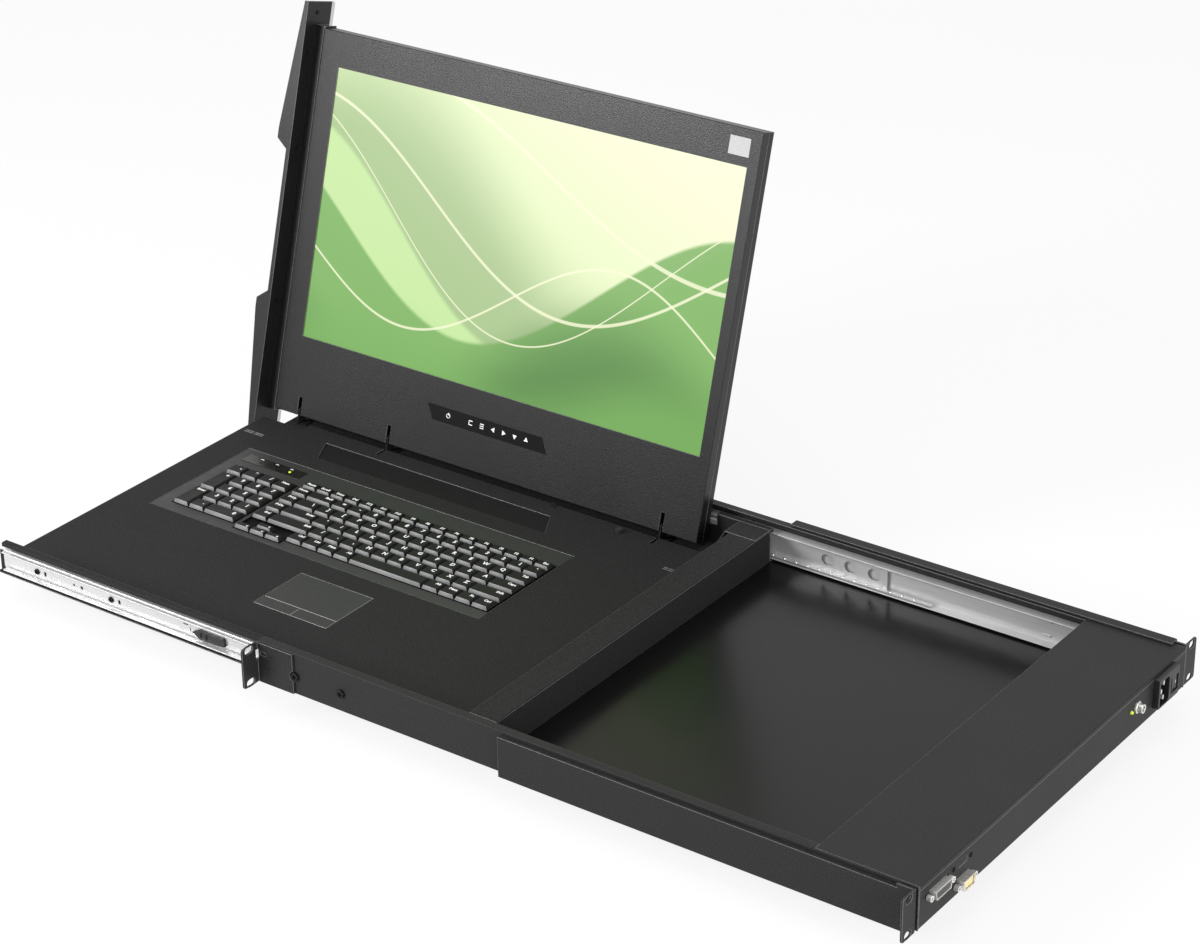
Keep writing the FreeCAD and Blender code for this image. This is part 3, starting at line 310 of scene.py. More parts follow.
def zinc_plate(name, base):
    """Bright zinc on cold-rolled steel strip: the rolling leaves faint streaks along the slide."""
    made, tree, shader, place = new_material(name)
    streaks = mottle(tree, place, 1.6, 0.0, 1.0, shader.inputs["Base Color"], (shade(base, 0.9), base),
                     stretch=(1.0, 0.03, 1.0))
    mottle(tree, place, 9, 0.32, 0.44, shader.inputs["Roughness"], stretch=(1.0, 0.1, 1.0))
    roughen(tree, streaks, shader, 0.1, 0.02)
    shader.inputs["Metallic"].default_value = 0.4
    return made


def brushed_aluminium(name, base):
    """Anodised aluminium, brushed lengthwise before the bath: long fine scratches and a broad highlight."""
    made, tree, shader, place = new_material(name)
    scratches = mottle(tree, place, 0.8, 0.0, 1.0, shader.inputs["Base Color"], (shade(base, 0.88), base),
                       stretch=(1.0, 1.0, 0.02))
    mottle(tree, place, 2, 0.28, 0.4, shader.inputs["Roughness"], stretch=(1.0, 1.0, 0.05))
    roughen(tree, scratches, shader, 0.2, 0.02)
    shader.inputs["Metallic"].default_value = 1.0
    return made


def plated(name, base, rough, metal=1.0):
    """Nickel or steel with a thin bright plate: a clean, slightly cloudy mirror."""
    made, tree, shader, place = new_material(name)
    cloud = mottle(tree, place, 3, 0.0, 1.0, shader.inputs["Base Color"], (shade(base, 0.92), base))
    mottle(tree, place, 6, rough - 0.03, rough + 0.05, shader.inputs["Roughness"])
    roughen(tree, cloud, shader, 0.05, 0.02)
    shader.inputs["Metallic"].default_value = metal
    return made


def moulded(name, base, rough, grain_mm=0.8, strength=0.2, gloss=0.5):
    """Moulded ABS with a spark-eroded texture from the tool, so it stays matt at a glance."""
    made, tree, shader, place = new_material(name)
    noise = mottle(tree, place, grain_mm, 0.0, 1.0, shader.inputs["Base Color"],
                   (shade(base, 0.9), shade(base, 1.1)))
    mottle(tree, place, 12, rough - 0.05, rough + 0.05, shader.inputs["Roughness"])
    roughen(tree, noise, shader, strength, 0.06)
    shader.inputs["Specular IOR Level"].default_value = gloss
    return made


def rubber(name, base):
    """Moulded nitrile rubber: very dull, with a bloom of lighter dust."""
    made, tree, shader, place = new_material(name)
    noise = mottle(tree, place, 1.5, 0.0, 1.0, shader.inputs["Base Color"], (base, shade(base, 1.5)))
    mottle(tree, place, 4, 0.8, 0.92, shader.inputs["Roughness"])
    roughen(tree, noise, shader, 0.2, 0.05)
    return made


def circuit_board(name, base):
    """Solder mask over copper tracks: a shiny green skin with fine lines under it."""
    made, tree, shader, place = new_material(name)
    mottle(tree, place, 2.0, 0.0, 1.0, shader.inputs["Base Color"], (shade(base, 0.7), shade(base, 1.3)),
           stretch=(1.0, 0.15, 1.0))
    mottle(tree, place, 8, 0.28, 0.4, shader.inputs["Roughness"])
    return made


def lamp(name, base, level):
    """A moulded lens with a lit diode behind it."""
    made, tree, shader, place = new_material(name)
    mottle(tree, place, 1.0, 0.0, 1.0, shader.inputs["Base Color"], (shade(base, 0.6), base))
    shader.inputs["Roughness"].default_value = 0.2
    shader.inputs["Emission Color"].default_value = base
    shader.inputs["Emission Strength"].default_value = level
    return made


def math_node(tree, operation, a, b=0.0, c=0.0):
    values = {}
    links = {}
    for i, v in enumerate((a, b, c)):
        if isinstance(v, (int, float)):
            values[i] = v
        else:
            links[i] = v
    values["operation"] = operation
    return add(tree, "ShaderNodeMath", values, links)


def along_axis(tree, place, axis):
    """How far a point is along an axis."""
    product = add(tree, "ShaderNodeVectorMath", {"operation": "DOT_PRODUCT", 1: axis}, {0: place})
    return product.outputs["Value"]


def lit_screen(name, colours, level):
    """An anti-glare film over the lit panel. The picture is of soft green waves under a pale sky."""
    made, tree, shader, place = new_material(name)
    u_size, v_size = (SCREEN_U[1] - SCREEN_U[0]) * MM, (SCREEN_V[1] - SCREEN_V[0]) * MM
    v_start = HINGE.dot(UP_SCREEN) - HINGE_IN_DISPLAY.z + SCREEN_V[0] * MM
    along = along_axis(tree, place, (0.0, 1.0, 0.0))
    up = along_axis(tree, place, UP_SCREEN)
    u = math_node(tree, "MULTIPLY_ADD", along, 1 / u_size, -(HINGE.y + SCREEN_U[0] * MM) / u_size)
    v = math_node(tree, "MULTIPLY_ADD", up, 1 / v_size, -v_start / v_size)

    def wave(base, height, turns, start):
        """A curve up the screen: its height at each u."""
        angle = math_node(tree, "MULTIPLY_ADD", u, turns * math.tau, start * math.tau)
        return math_node(tree, "MULTIPLY_ADD", math_node(tree, "SINE", angle), height, base)

    def soft_step(value, none, full):
        return add(tree, "ShaderNodeMapRange",
                   {"From Min": none, "From Max": full, "interpolation_type": "SMOOTHSTEP"}, {"Value": value})

    def below(curve, soft):
        return soft_step(math_node(tree, "SUBTRACT", curve, v), 0.0, soft)

    def line(curve, half):
        gap = math_node(tree, "ABSOLUTE", math_node(tree, "SUBTRACT", curve, v))
        return soft_step(gap, half, half * 0.5)

    def paint(under, over, mask, strength=1.0):
        share = math_node(tree, "MULTIPLY", mask, strength)
        sources = {0: share}
        values = {"data_type": "RGBA"}
        for socket, value in ((6, under), (7, over)):
            if isinstance(value, bpy.types.NodeSocket):
                sources[socket] = value
            else:
                values[socket] = value
        return add(tree, "ShaderNodeMix", values, sources).outputs[2]

    rise = math_node(tree, "MULTIPLY_ADD", u, 0.7, math_node(tree, "MULTIPLY", v, 0.5))
    sky = add(tree, "ShaderNodeMapRange", {"From Min": 0.15, "From Max": 1.1}, {"Value": rise})
    picture = paint(colours.leaf_light, colours.leaf_pale, sky)
    for base, height, turns, start, tone, strength, soft in (
            (0.86, 0.42, 0.62, 0.20, colours.leaf_dark, 0.5, 0.5),
            (0.50, 0.34, 0.80, 0.33, colours.leaf_light, 0.85, 0.03),
            (0.46, 0.30, 0.78, 0.44, colours.leaf_mid, 0.95, 0.02),
            (0.30, 0.22, 0.95, 0.52, colours.leaf_dark, 0.9, 0.35),
            (0.20, 0.10, 1.30, 0.05, colours.leaf_mid, 0.8, 0.25)):
        picture = paint(picture, tone, below(wave(base, height, turns, start), soft), strength)
    for base, height, turns, start, half in ((0.62, 0.30, 0.7, 0.30, 0.008), (0.55, 0.36, 0.75, 0.36, 0.004),
                                             (0.34, 0.20, 1.0, 0.50, 0.006), (0.80, 0.24, 0.6, 0.16, 0.010)):
        picture = paint(picture, colours.leaf_pale, line(wave(base, height, turns, start), half), 0.8)
    out = along_axis(tree, place, OUT_OF_SCREEN)
    lit = math_node(tree, "GREATER_THAN", out, HINGE.dot(OUT_OF_SCREEN) - HINGE_IN_DISPLAY.x + LIT_DEPTH)
    picture = paint((0.0, 0.0, 0.0, 1.0), picture, lit)
    tree.links.new(picture, shader.inputs["Emission Color"])
    shader.inputs["Emission Strength"].default_value = level
    shader.inputs["Base Color"].default_value = linear("#0c0d0c")
    mottle(tree, place, 0.6, 0.42, 0.5, shader.inputs["Roughness"])
    return made


MATERIALS = {}
# Pieces whose surface differs from the rest of their slot. The chassis floor in the well and the cable cover
# are painted darker: painted shade.
OWN_FINISH = {"chassis_base": "painted_shade_floor", "cable_cover": "painted_shade_cover", "led_strip": "strip_black"}


def finish_for(slot):
    """The material of a record slot, or of one of the other finishes here, made once."""
    if slot in MATERIALS:
        return MATERIALS[slot]
    tone = bpy.context.scene.console_colours
    grain = bpy.context.scene.console_sizes.grain
    makers = {
        "chassis_black": lambda: powder_coat("powder_coat_chassis", tone.coat, grain, 0.52),
        "tray_black": lambda: powder_coat("powder_coat_tray", tone.coat, grain, 0.7, gloss=0.13),
        "bezel_black": lambda: powder_coat("powder_coat_display", tone.bezel, grain, 0.34, gloss=0.28),
        "bracket_black": lambda: powder_coat("black_oxide_steel", shade(tone.coat, 0.5), grain, 0.7,
                                             gloss=0.12),
        # Light grey on the rounded edges of the sheets: a painted highlight.
        "painted_edge_highlight": lambda: powder_coat("powder_coat_painted_highlight", linear("#5a5a5a"), grain, 0.35, 0.1, 0.4),
        # Light grey on the rounded edges of the touchpad and its buttons: a painted highlight.
        "pad_painted_highlight": lambda: moulded("abs_pad_painted_highlight", linear("#8a8a8a"), 0.4, strength=0.05),
        # Near black on the chassis floor down in the well: painted shade.
        "painted_shade_floor": lambda: powder_coat("smooth_coat_painted_shade_floor", linear("#101010"), grain, 0.24, 0.05, 0.22),
        # Near black on the cable cover in its trough: painted shade.
        "painted_shade_cover": lambda: moulded("moulded_painted_shade_cover", linear("#131313"), 0.6, gloss=0.2),
        "strip_black": lambda: moulded("polyester_strip_black", linear("#1b1c18"), 0.2, strength=0.03),
        # Near black on the wells round the keys: painted shade.
        "key_well_painted_shade": lambda: moulded("abs_well_painted_shade", linear("#0c0c0c"), 0.7, gloss=0.1),
        # Light grey on the near faces of the caps, which face the lamps: a painted lit side.
        "key_painted_lit_side": lambda: moulded("abs_key_painted_lit_side", linear("#6e6e6e"), 0.4, strength=0.1),
        "slide_zinc": lambda: zinc_plate("zinc_plated_steel", tone.zinc),
        "ball_steel": lambda: plated("polished_ball_steel", tone.nickel, 0.1),
        "pin_steel": lambda: plated("ground_pin_steel", tone.nickel, 0.25),
        "connector_steel": lambda: plated("nickel_plate", tone.nickel, 0.25, 0.7),
        "inlet_black": lambda: moulded("moulded_nylon_black", linear("#151515"), 0.42),
        "rocker_black": lambda: moulded("moulded_rocker_black", linear("#1a1a1a"), 0.3, strength=0.05),
        "led_green": lambda: lamp("status_lamp", tone.lamp, 0.6),
        "supply_case": lambda: brushed_aluminium("aluminium_case", tone.aluminium),
        "board_green": lambda: circuit_board("solder_mask_green", linear("#1b5e38")),
        "screw_black": lambda: plated("black_zinc_screw", linear("#2a2a2a"), 0.38),
        "rubber_black": lambda: rubber("nitrile_rubber", tone.rubber),
        "lever_black": lambda: moulded("acetal_lever_black", linear("#1b1b1b"), 0.45),
        "keyboard_black": lambda: moulded("abs_bezel_black", linear("#242424"), 0.5),
        "key_black": lambda: moulded("abs_key_black", tone.key, 0.5, strength=0.1, gloss=0.2),
        "pad_black": lambda: moulded("abs_pad_black", linear("#202020"), 0.55),
        "screen_panel": lambda: lit_screen("lit_panel", tone, bpy.context.scene.console_sizes.screen_level),
        "osd_black": lambda: moulded("polyester_membrane_black", linear("#090909"), 0.42, strength=0.02,
                                     gloss=0.1),
        "fascia_aluminium": lambda: brushed_aluminium("anodised_aluminium", tone.aluminium),
    }
    MATERIALS[slot] = makers[slot]()
    return MATERIALS[slot]


def print_material(name, base):
    """Pad-printed ink: flat and a little chalky, with thin spots."""
    if name in MATERIALS:
        return MATERIALS[name]
    made, tree, shader, place = new_material(name)
    mottle(tree, place, 0.7, 0.0, 1.0, shader.inputs["Base Color"], (shade(base, 0.9), base))
    shader.inputs["Roughness"].default_value = 0.6
    MATERIALS[name] = made
    return made


# ------------------------------------------------------------------ shaping

def clear_selection():
    if bpy.context.mode != "OBJECT":
        bpy.ops.object.mode_set(mode="OBJECT")
    bpy.ops.object.select_all(action="DESELECT")


def only(piece):
    clear_selection()
    piece.select_set(True)
    bpy.context.view_layer.objects.active = piece


def block(name, x, y, z):
    """A block between three (low, high) pairs in millimetres."""
    clear_selection()
    pairs = (x, y, z)
    bpy.ops.mesh.primitive_cube_add(size=1, location=[(a + b) / 2 * MM for a, b in pairs],
                                    scale=[(b - a) * MM for a, b in pairs])
    piece = bpy.context.object
    piece.name = piece.data.name = name
    bpy.ops.object.transform_apply(location=True, rotation=True, scale=True)
    return piece


def rod(name, centre, radius, depth, turn=(0, 0, 0), sides=32):
    """A cylinder about a centre in millimetres, along Z before its turn in degrees."""
    clear_selection()
    bpy.ops.mesh.primitive_cylinder_add(vertices=sides, radius=radius * MM, depth=depth * MM,
                                        location=[c * MM for c in centre],
                                        rotation=[math.radians(t) for t in turn])
    piece = bpy.context.object
    piece.name = piece.data.name = name
    bpy.ops.object.transform_apply(location=True, rotation=True, scale=True)
    return piece


def choose_faces(piece, test):
    """In edit mode, select only the faces whose centre and normal pass the test."""
    mesh = bmesh.from_edit_mesh(piece.data)
    bpy.ops.mesh.select_all(action="DESELECT")
    bpy.ops.mesh.select_mode(type="FACE")
    for face in mesh.faces:
        if test(face.calc_center_median(), face.normal):
            face.select_set(True)
    bmesh.update_edit_mesh(piece.data)


def apply_modifier(piece, kind, **settings):
    only(piece)
    modifier = piece.modifiers.new(kind.lower(), kind)
    for key, value in settings.items():
        setattr(modifier, key, value)
    bpy.ops.object.modifier_apply(modifier=modifier.name)


def extrude(x, y, z):
    """In edit mode, extrude the selected faces by a step in millimetres."""
    bpy.ops.mesh.extrude_region_move(TRANSFORM_OT_translate={"value": (x * MM, y * MM, z * MM)})


def soften(piece, width, edge_slot=-1):
    """Round the sharp edges and let the light run over them. The rounding may take the second material."""
    apply_modifier(piece, "BEVEL", width=width, segments=ROUND_STEPS, limit_method="ANGLE",
                   angle_limit=math.radians(ROUND_ANGLE), use_clamp_overlap=False, miter_outer="MITER_SHARP",
                   loop_slide=False, material=edge_slot)
    only(piece)
    bpy.ops.object.shade_smooth()
    apply_modifier(piece, "WEIGHTED_NORMAL", keep_sharp=True)


def join(pieces, name):
    clear_selection()
    for piece in pieces:
        piece.select_set(True)
    bpy.context.view_layer.objects.active = pieces[0]
    if len(pieces) > 1:
        bpy.ops.object.join()
    pieces[0].name = pieces[0].data.name = name
    return pieces[0]


def fit(piece, material, body, slot, *nodes):
    """Give a finished piece its material and body, and hide the CAD nodes that it stands for.
    The slot is not used. Without a material it keeps its own."""
    if material:
        piece.data.materials.clear()
        piece.data.materials.append(material)
    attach(piece, body)
    if nodes:
        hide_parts(*nodes)
    return piece


def formed(node, width, edge=None):
    """The solid's own shape with its edges rounded, as a press and a coat of powder leave them.
    The rounded edges may take a lighter finish of their own: a painted highlight along them."""
    piece = bpy.data.objects.new(node + "_formed", frame["nodes"][node].data.copy())
    bpy.context.scene.collection.objects.link(piece)
    only(piece)
    bpy.ops.object.mode_set(mode="EDIT")
    bpy.ops.mesh.select_all(action="SELECT")
    bpy.ops.mesh.remove_doubles(threshold=WELD)
    bpy.ops.mesh.dissolve_limited(angle_limit=math.radians(FLAT_ANGLE))
    bpy.ops.mesh.select_all(action="SELECT")
    bpy.ops.mesh.vert_connect_concave()
    bpy.ops.object.mode_set(mode="OBJECT")
    bpy.ops.mesh.customdata_custom_splitnormals_clear()
    slot = SLOT_OF[node]
    piece.data.materials.clear()
    piece.data.materials.append(finish_for(slot))
    if edge:
        piece.data.materials.append(finish_for(edge))
    soften(piece, width, edge_slot=1 if edge else -1)
    return fit(piece, None, BODY_OF[node], slot, node)


# ------------------------------------------------------------------ keys

def spread(first, widths):
    out = []
    for w in widths:
        out.append((first, first + w))
        first += w
    return out


def key_rows():
    """Every key as (near edge, depth, (low, high) along Y, legend), in the group that it moves with."""
    start, end = MAIN_Y
    run = end - start
    groups = {"keys_function_row": [], "keys_number_row": [], "keys_letter_rows": [], "keys_bottom_row": [],
              "keys_numpad": []}

    def row(group, near, depth, spans, legends):
        groups[group] += [(near, depth, span, text) for span, text in zip(spans, legends)]

    row("keys_function_row", ROW_NEAR[0], FUNCTION_DEPTH, spread(start, [run / 17] * 17),
        ["Pause", "Scroll", "Print", "Del"] + ["F%d" % k for k in range(12, 0, -1)] + ["Esc"])
    # In each row: the first key, a wide key, the single keys, the last key and the wide key's width
    main = (("Home", "Back", "= - 0 9 8 7 6 5 4 3 2 1".split(), "`", 30.8),
            ("PgUp", "\\", "] [ P O I U Y T R E W Q".split(), "Tab", 25.2),
            ("PgDn", "Enter", "' ; L K J H G F D S A".split(), "Caps", 38.2),
            ("End", "Shift", "/ . , M N B V C X Z".split(), "Shift", 49.6))
    for i, (nav, wide_text, texts, last_text, wide) in enumerate(main):
        last = run - NAV - wide - len(texts) * PITCH
        spans = spread(start, [NAV, wide] + [PITCH] * len(texts) + [last])
        row("keys_letter_rows" if i else "keys_number_row", ROW_NEAR[i + 1], ROW_DEPTH if i else NUMBER_DEPTH,
            spans, [nav, wide_text] + texts + [last_text])
    arrows = 3 * NAV + ARROW_GAP
    space = run - arrows - 8 * PITCH
    spans = spread(start + arrows, [PITCH] * 4 + [space] + [PITCH] * 4)
    row("keys_bottom_row", ROW_NEAR[5], ROW_DEPTH, spans,
        ["Ctrl", "List", "Meta", "Alt", "", "Alt", "Meta", "Fn", "Ctrl"])
    small = spread(start, [NAV] * 3)
    row("keys_bottom_row", ARROW_NEAR, ARROW_DEPTH, small, ["<", "v", ">"])
    row("keys_bottom_row", UP_ARROW_NEAR, ARROW_DEPTH, small[1:2], ["^"])
    wide = PAD_COLUMNS[1] - PAD_COLUMNS[0]
    cols = [(c, c + wide) for c in PAD_COLUMNS]
    tall = ROW_DEPTH + ROW_PITCH
    pad = ((1, ROW_DEPTH, cols, ["-", "*", "/", "Num"]), (3, tall, cols[:1], ["+"]),
           (2, ROW_DEPTH, cols[1:], ["9", "8", "7"]), (3, ROW_DEPTH, cols[1:], ["6", "5", "4"]),
           (5, tall, cols[:1], ["Enter"]), (4, ROW_DEPTH, cols[1:], ["3", "2", "1"]),
           (5, ROW_DEPTH, [cols[1], (cols[2][0], cols[3][1])], [".", "0"]))
    for near, depth, spans, texts in pad:
        row("keys_numpad", ROW_NEAR[near], depth, spans, texts)
    return groups


def key_lean(depth):
    """How far the far side of a cap leans in at the top."""
    return min(LEAN_MOST, depth * LEAN_SHARE)


def key_cap(depth, width, edge, dish):
    """One key cap about the origin: its near edge at x 0, its middle at y 0, its top at z 0."""
    lean = key_lean(depth)
    piece = block("key_cap", (-depth, 0), (-width / 2, width / 2), (-KEY_HEIGHT, 0))
    only(piece)
    bpy.ops.object.mode_set(mode="EDIT")
    choose_faces(piece, lambda c, n: n.z > 0.5)
    top_depth, top_width = depth - lean - NEAR_LEAN, width - TOP_NARROWER
    bpy.ops.transform.resize(value=(top_depth / depth, top_width / width, 1))
    bpy.ops.transform.translate(value=((lean - NEAR_LEAN) / 2 * MM, 0, 0))
    bpy.ops.mesh.select_mode(type="EDGE")
    mesh = bmesh.from_edit_mesh(piece.data)
    bpy.ops.mesh.select_all(action="DESELECT")
    for line in mesh.edges:
        if max(v.co.z for v in line.verts) > -0.1 * MM:
            line.select_set(True)
    bmesh.update_edit_mesh(piece.data)
    bpy.ops.mesh.bevel(offset=edge, segments=2)
    choose_faces(piece, lambda c, n: n.z > 0.99)
    bpy.ops.mesh.inset(thickness=CAP_RIM * MM)
    bpy.ops.mesh.inset(thickness=DISH_SLOPE * MM)
    bpy.ops.transform.translate(value=(0, 0, -dish))
    choose_faces(piece, lambda c, n: n.z < -0.99)
    middle = (-depth + lean - STEM_SHIFT) / 2
    under_depth, under_width = depth - 2 * UNDER_RIM, width - 2 * UNDER_RIM
    bpy.ops.mesh.inset(thickness=UNDER_RIM * MM)
    bpy.ops.transform.resize(value=(2 * STEM_HALF / under_depth, 2 * STEM_HALF / under_width, 1),
                             center_override=(-depth / 2 * MM, 0, -KEY_HEIGHT * MM))
    bpy.ops.transform.translate(value=((middle + depth / 2) * MM, 0, 0))
    extrude(0, 0, STEM_END - KEY_TOP + KEY_HEIGHT)
    bpy.ops.object.mode_set(mode="OBJECT")
    bpy.ops.object.shade_smooth_by_angle(angle=math.radians(35))
    return piece


def words(text, size, ink):
    """Type as a mesh, lying on XY with its right end at x 0 and its top line at y 0, thickened by its ink."""
    clear_selection()
    bpy.ops.object.text_add(location=(0, 0, 0))
    piece = bpy.context.object
    piece.data.body = text
    piece.data.size = size
    piece.data.align_x = "RIGHT"
    piece.data.align_y = "TOP"
    piece.data.resolution_u = 2
    piece.data.extrude = INK_THICKNESS * MM
    piece.data.offset = ink
    bpy.ops.object.convert(target="MESH")
    return bpy.context.object


def material_spread(piece, other, test):
    """Give the faces that pass the test a second material."""
    piece.data.materials.append(other)
    index = len(piece.data.materials) - 1
    for face in piece.data.polygons:
        if test(face.center, face.normal):
            face.material_index = index


# ------------------------------------------------------------------ operators

class CONSOLE_OT_sheet_metal(bpy.types.Operator):
    """Round the edges of the chassis, brackets, tray and display sheets"""
    bl_idname = "console.sheet_metal"
    bl_label = "Sheet metal"

    def execute(self, context):
        edge = context.scene.console_sizes.sheet_edge
        # All the sheets but the hinge brackets take the light grey painted highlight on their rounded edges.
        for node in ("chassis_side_near", "chassis_side_far", "rear_cover", "rear_panel", "front_ear_near",
                     "front_ear_far", "rear_bracket_near", "rear_bracket_far", "drawer_side_near",
                     "drawer_side_far", "drawer_pan", "keyboard_deck", "rear_rim", "hinge_brackets",
                     "lcd_bezel", "lcd_back_cover", "fascia_mount", "fascia_bracket"):
            formed(node, edge, edge=None if node == "hinge_brackets" else "painted_edge_highlight")
        return {"FINISHED"}


class CONSOLE_OT_slides(bpy.types.Operator):
    """Round the rolled edges of the ball slides and the edges of their release levers"""
    bl_idname = "console.slides"
    bl_label = "Slides"

    def execute(self, context):
        edge = context.scene.console_sizes.sheet_edge
        for node in ("outer_slide_near", "outer_slide_far", "inner_slide_near", "inner_slide_far"):
            formed(node, edge * SLIDE_SHARE)
        for node in ("release_lever_near", "release_lever_far"):
            formed(node, edge)
        return {"FINISHED"}


class CONSOLE_OT_keys(bpy.types.Operator):
    """Make the key caps, one group for each row or block that moves"""
    bl_idname = "console.keys"
    bl_label = "Key caps"

    def execute(self, context):
        sizes = context.scene.console_sizes
        caps = {}
        for node, keys in key_rows().items():
            made = []
            for near, depth, span, text in keys:
                width = span[1] - span[0] - KEY_GAP
                size = (depth, round(width, 2))
                if size not in caps:
                    caps[size] = key_cap(depth, width, sizes.key_edge, sizes.key_dish)
                piece = bpy.data.objects.new("key", caps[size].data.copy())
                bpy.context.scene.collection.objects.link(piece)
                piece.data.transform(Matrix.Translation(Vector((near, sum(span) / 2, KEY_TOP)) * MM))
                made.append(piece)
            group = join(made, node + "_caps")
            fit(group, finish_for("key_black"), BODY_OF[node], "key_black", node)
            # The near faces of the caps take the light grey of a painted lit side.
            material_spread(group, finish_for("key_painted_lit_side"), lambda c, n: n.x > 0.6)
        for template in caps.values():
            bpy.data.objects.remove(template)
        return {"FINISHED"}


class CONSOLE_OT_legends(bpy.types.Operator):
    """Print the plain legends on the keys"""
    bl_idname = "console.legends"
    bl_label = "Legends"

    def execute(self, context):
        sizes = context.scene.console_sizes
        ink = print_material("white_key_ink", context.scene.console_colours.legend)
        for node, keys in key_rows().items():
            made = []
            for near, depth, span, text in keys:
                if not text:
                    continue
                big = len(text) == 1 and depth > ARROW_DEPTH
                size = sizes.legend if big else sizes.small_legend
                piece = words(text, size, size * sizes.ink_spread)
                x = near - depth + key_lean(depth) + LEGEND_IN
                y = span[1] - KEY_GAP / 2 - TOP_NARROWER / 2 - LEGEND_SIDE[big]
                z = KEY_TOP + LEGEND_ABOVE
                turn = Matrix.Rotation(math.radians(90), 4, "Z")
                piece.data.transform(Matrix.Translation(Vector((x, y, z)) * MM) @ turn)
                made.append(piece)
            fit(join(made, node + "_legends"), ink, BODY_OF[node], "key_black")
        return {"FINISHED"}


class CONSOLE_OT_keyboard(bpy.types.Operator):
    """Shape the keyboard bezel, the touchpad with its buttons, and the lamp strip"""
    bl_idname = "console.keyboard"
    bl_label = "Keyboard bezel and touchpad"

    def execute(self, context):
        sizes = context.scene.console_sizes
        tone = context.scene.console_colours
        base = formed("keyboard_base", sizes.sheet_edge)
        # The faces of the wells round the keys take a near black: painted shade.
        material_spread(base, finish_for("key_well_painted_shade"), lambda c, n: c.z < KEY_WELL_Z * MM)
        # The rounded edges of the touchpad and its buttons take the light grey painted highlight.
        for node in ("touchpad", "touchpad_button_front", "touchpad_button_rear"):
            formed(node, sizes.moulded_edge, edge="pad_painted_highlight")
        marks = [block("mark", LAMP_MARK_X, (y - LAMP_MARK_HALF, y + LAMP_MARK_HALF), LAMP_MARK_Z)
                 for y in LAMP_MARK_Y]
        ink = print_material("white_strip_ink", tone.legend)
        fit(join(marks, "lamp_marks"), ink, "drawer", "keyboard_black")
        lens = rod("caps_lamp", LAMP_AT, LAMP_RADIUS, LAMP_HEIGHT)
        soften(lens, FINE_EDGE)
        fit(lens, lamp("lit_strip_lamp", tone.lamp, 1.0), "drawer", "led_green")
        return {"FINISHED"}


class CONSOLE_OT_display_marks(bpy.types.Operator):
    """Add the symbols on the button strip and the blank label on the bezel"""
    bl_idname = "console.display_marks"
    bl_label = "Display marks"

    def execute(self, context):
        tone = context.scene.console_colours
        v = BUTTON_V
        out, thick = sum(PRINT_W) / 2, PRINT_W[1] - PRINT_W[0]
        clear_selection()
        bpy.ops.mesh.primitive_torus_add(major_radius=RING_RADIUS * MM, minor_radius=RING_WIRE * MM,
                                         major_segments=32, minor_segments=6,
                                         location=(out * MM, POWER_U * MM, v * MM),
                                         rotation=(0, math.radians(90), 0))
        ring = bpy.context.object
        bpy.ops.object.transform_apply(location=True, rotation=True, scale=True)
        made = [ring, block("bar", PRINT_W, (POWER_U - 0.4, POWER_U + 0.4), (v + 0.6, v + 3.0)),
                block("side", PRINT_W, (CORNER_U[0], CORNER_U[0] + 2 * STROKE), (v - 2.4, v + 2.4))]
        made += [block("side", PRINT_W, CORNER_U, (v + k - STROKE, v + k + STROKE))
                 for k in (-BAR_STEP, BAR_STEP)]
        made += [block("bar", PRINT_W, BARS_U, (v + k - STROKE, v + k + STROKE))
                 for k in (-BAR_STEP, 0, BAR_STEP)]
        for u, angle in ARROWS:
            clear_selection()
            bpy.ops.mesh.primitive_cylinder_add(vertices=3, radius=ARROW_RADIUS * MM, depth=thick * MM,
                                                location=(out * MM, u * MM, v * MM))
            arrow = bpy.context.object
            bpy.ops.object.transform_apply(location=False, rotation=True, scale=True)
            arrow.data.transform(Matrix.Rotation(math.radians(angle), 4, "X")
                                 @ Matrix(((0, 0, 1, 0), (0, 1, 0, 0), (-1, 0, 0, 0), (0, 0, 0, 1))))
            bpy.ops.object.transform_apply(location=True, rotation=True, scale=True)
            made.append(arrow)
        symbols = join(made, "button_symbols")
        symbols.data.transform(ON_DISPLAY)
        fit(symbols, print_material("white_membrane_ink", tone.legend), "lcd", "osd_black")
        label = block("bezel_label", LABEL_W, LABEL_U, LABEL_V)
        label.data.transform(ON_DISPLAY)
        fit(label, print_material("label_film", tone.label), "lcd", "bezel_black")
        return {"FINISHED"}


class CONSOLE_OT_fascia(bpy.types.Operator):
    """Shape the aluminium front plate of the fascia"""
    bl_idname = "console.fascia"
    bl_label = "Fascia"

    def execute(self, context):
        formed("fascia_front", context.scene.console_sizes.moulded_edge)
        return {"FINISHED"}


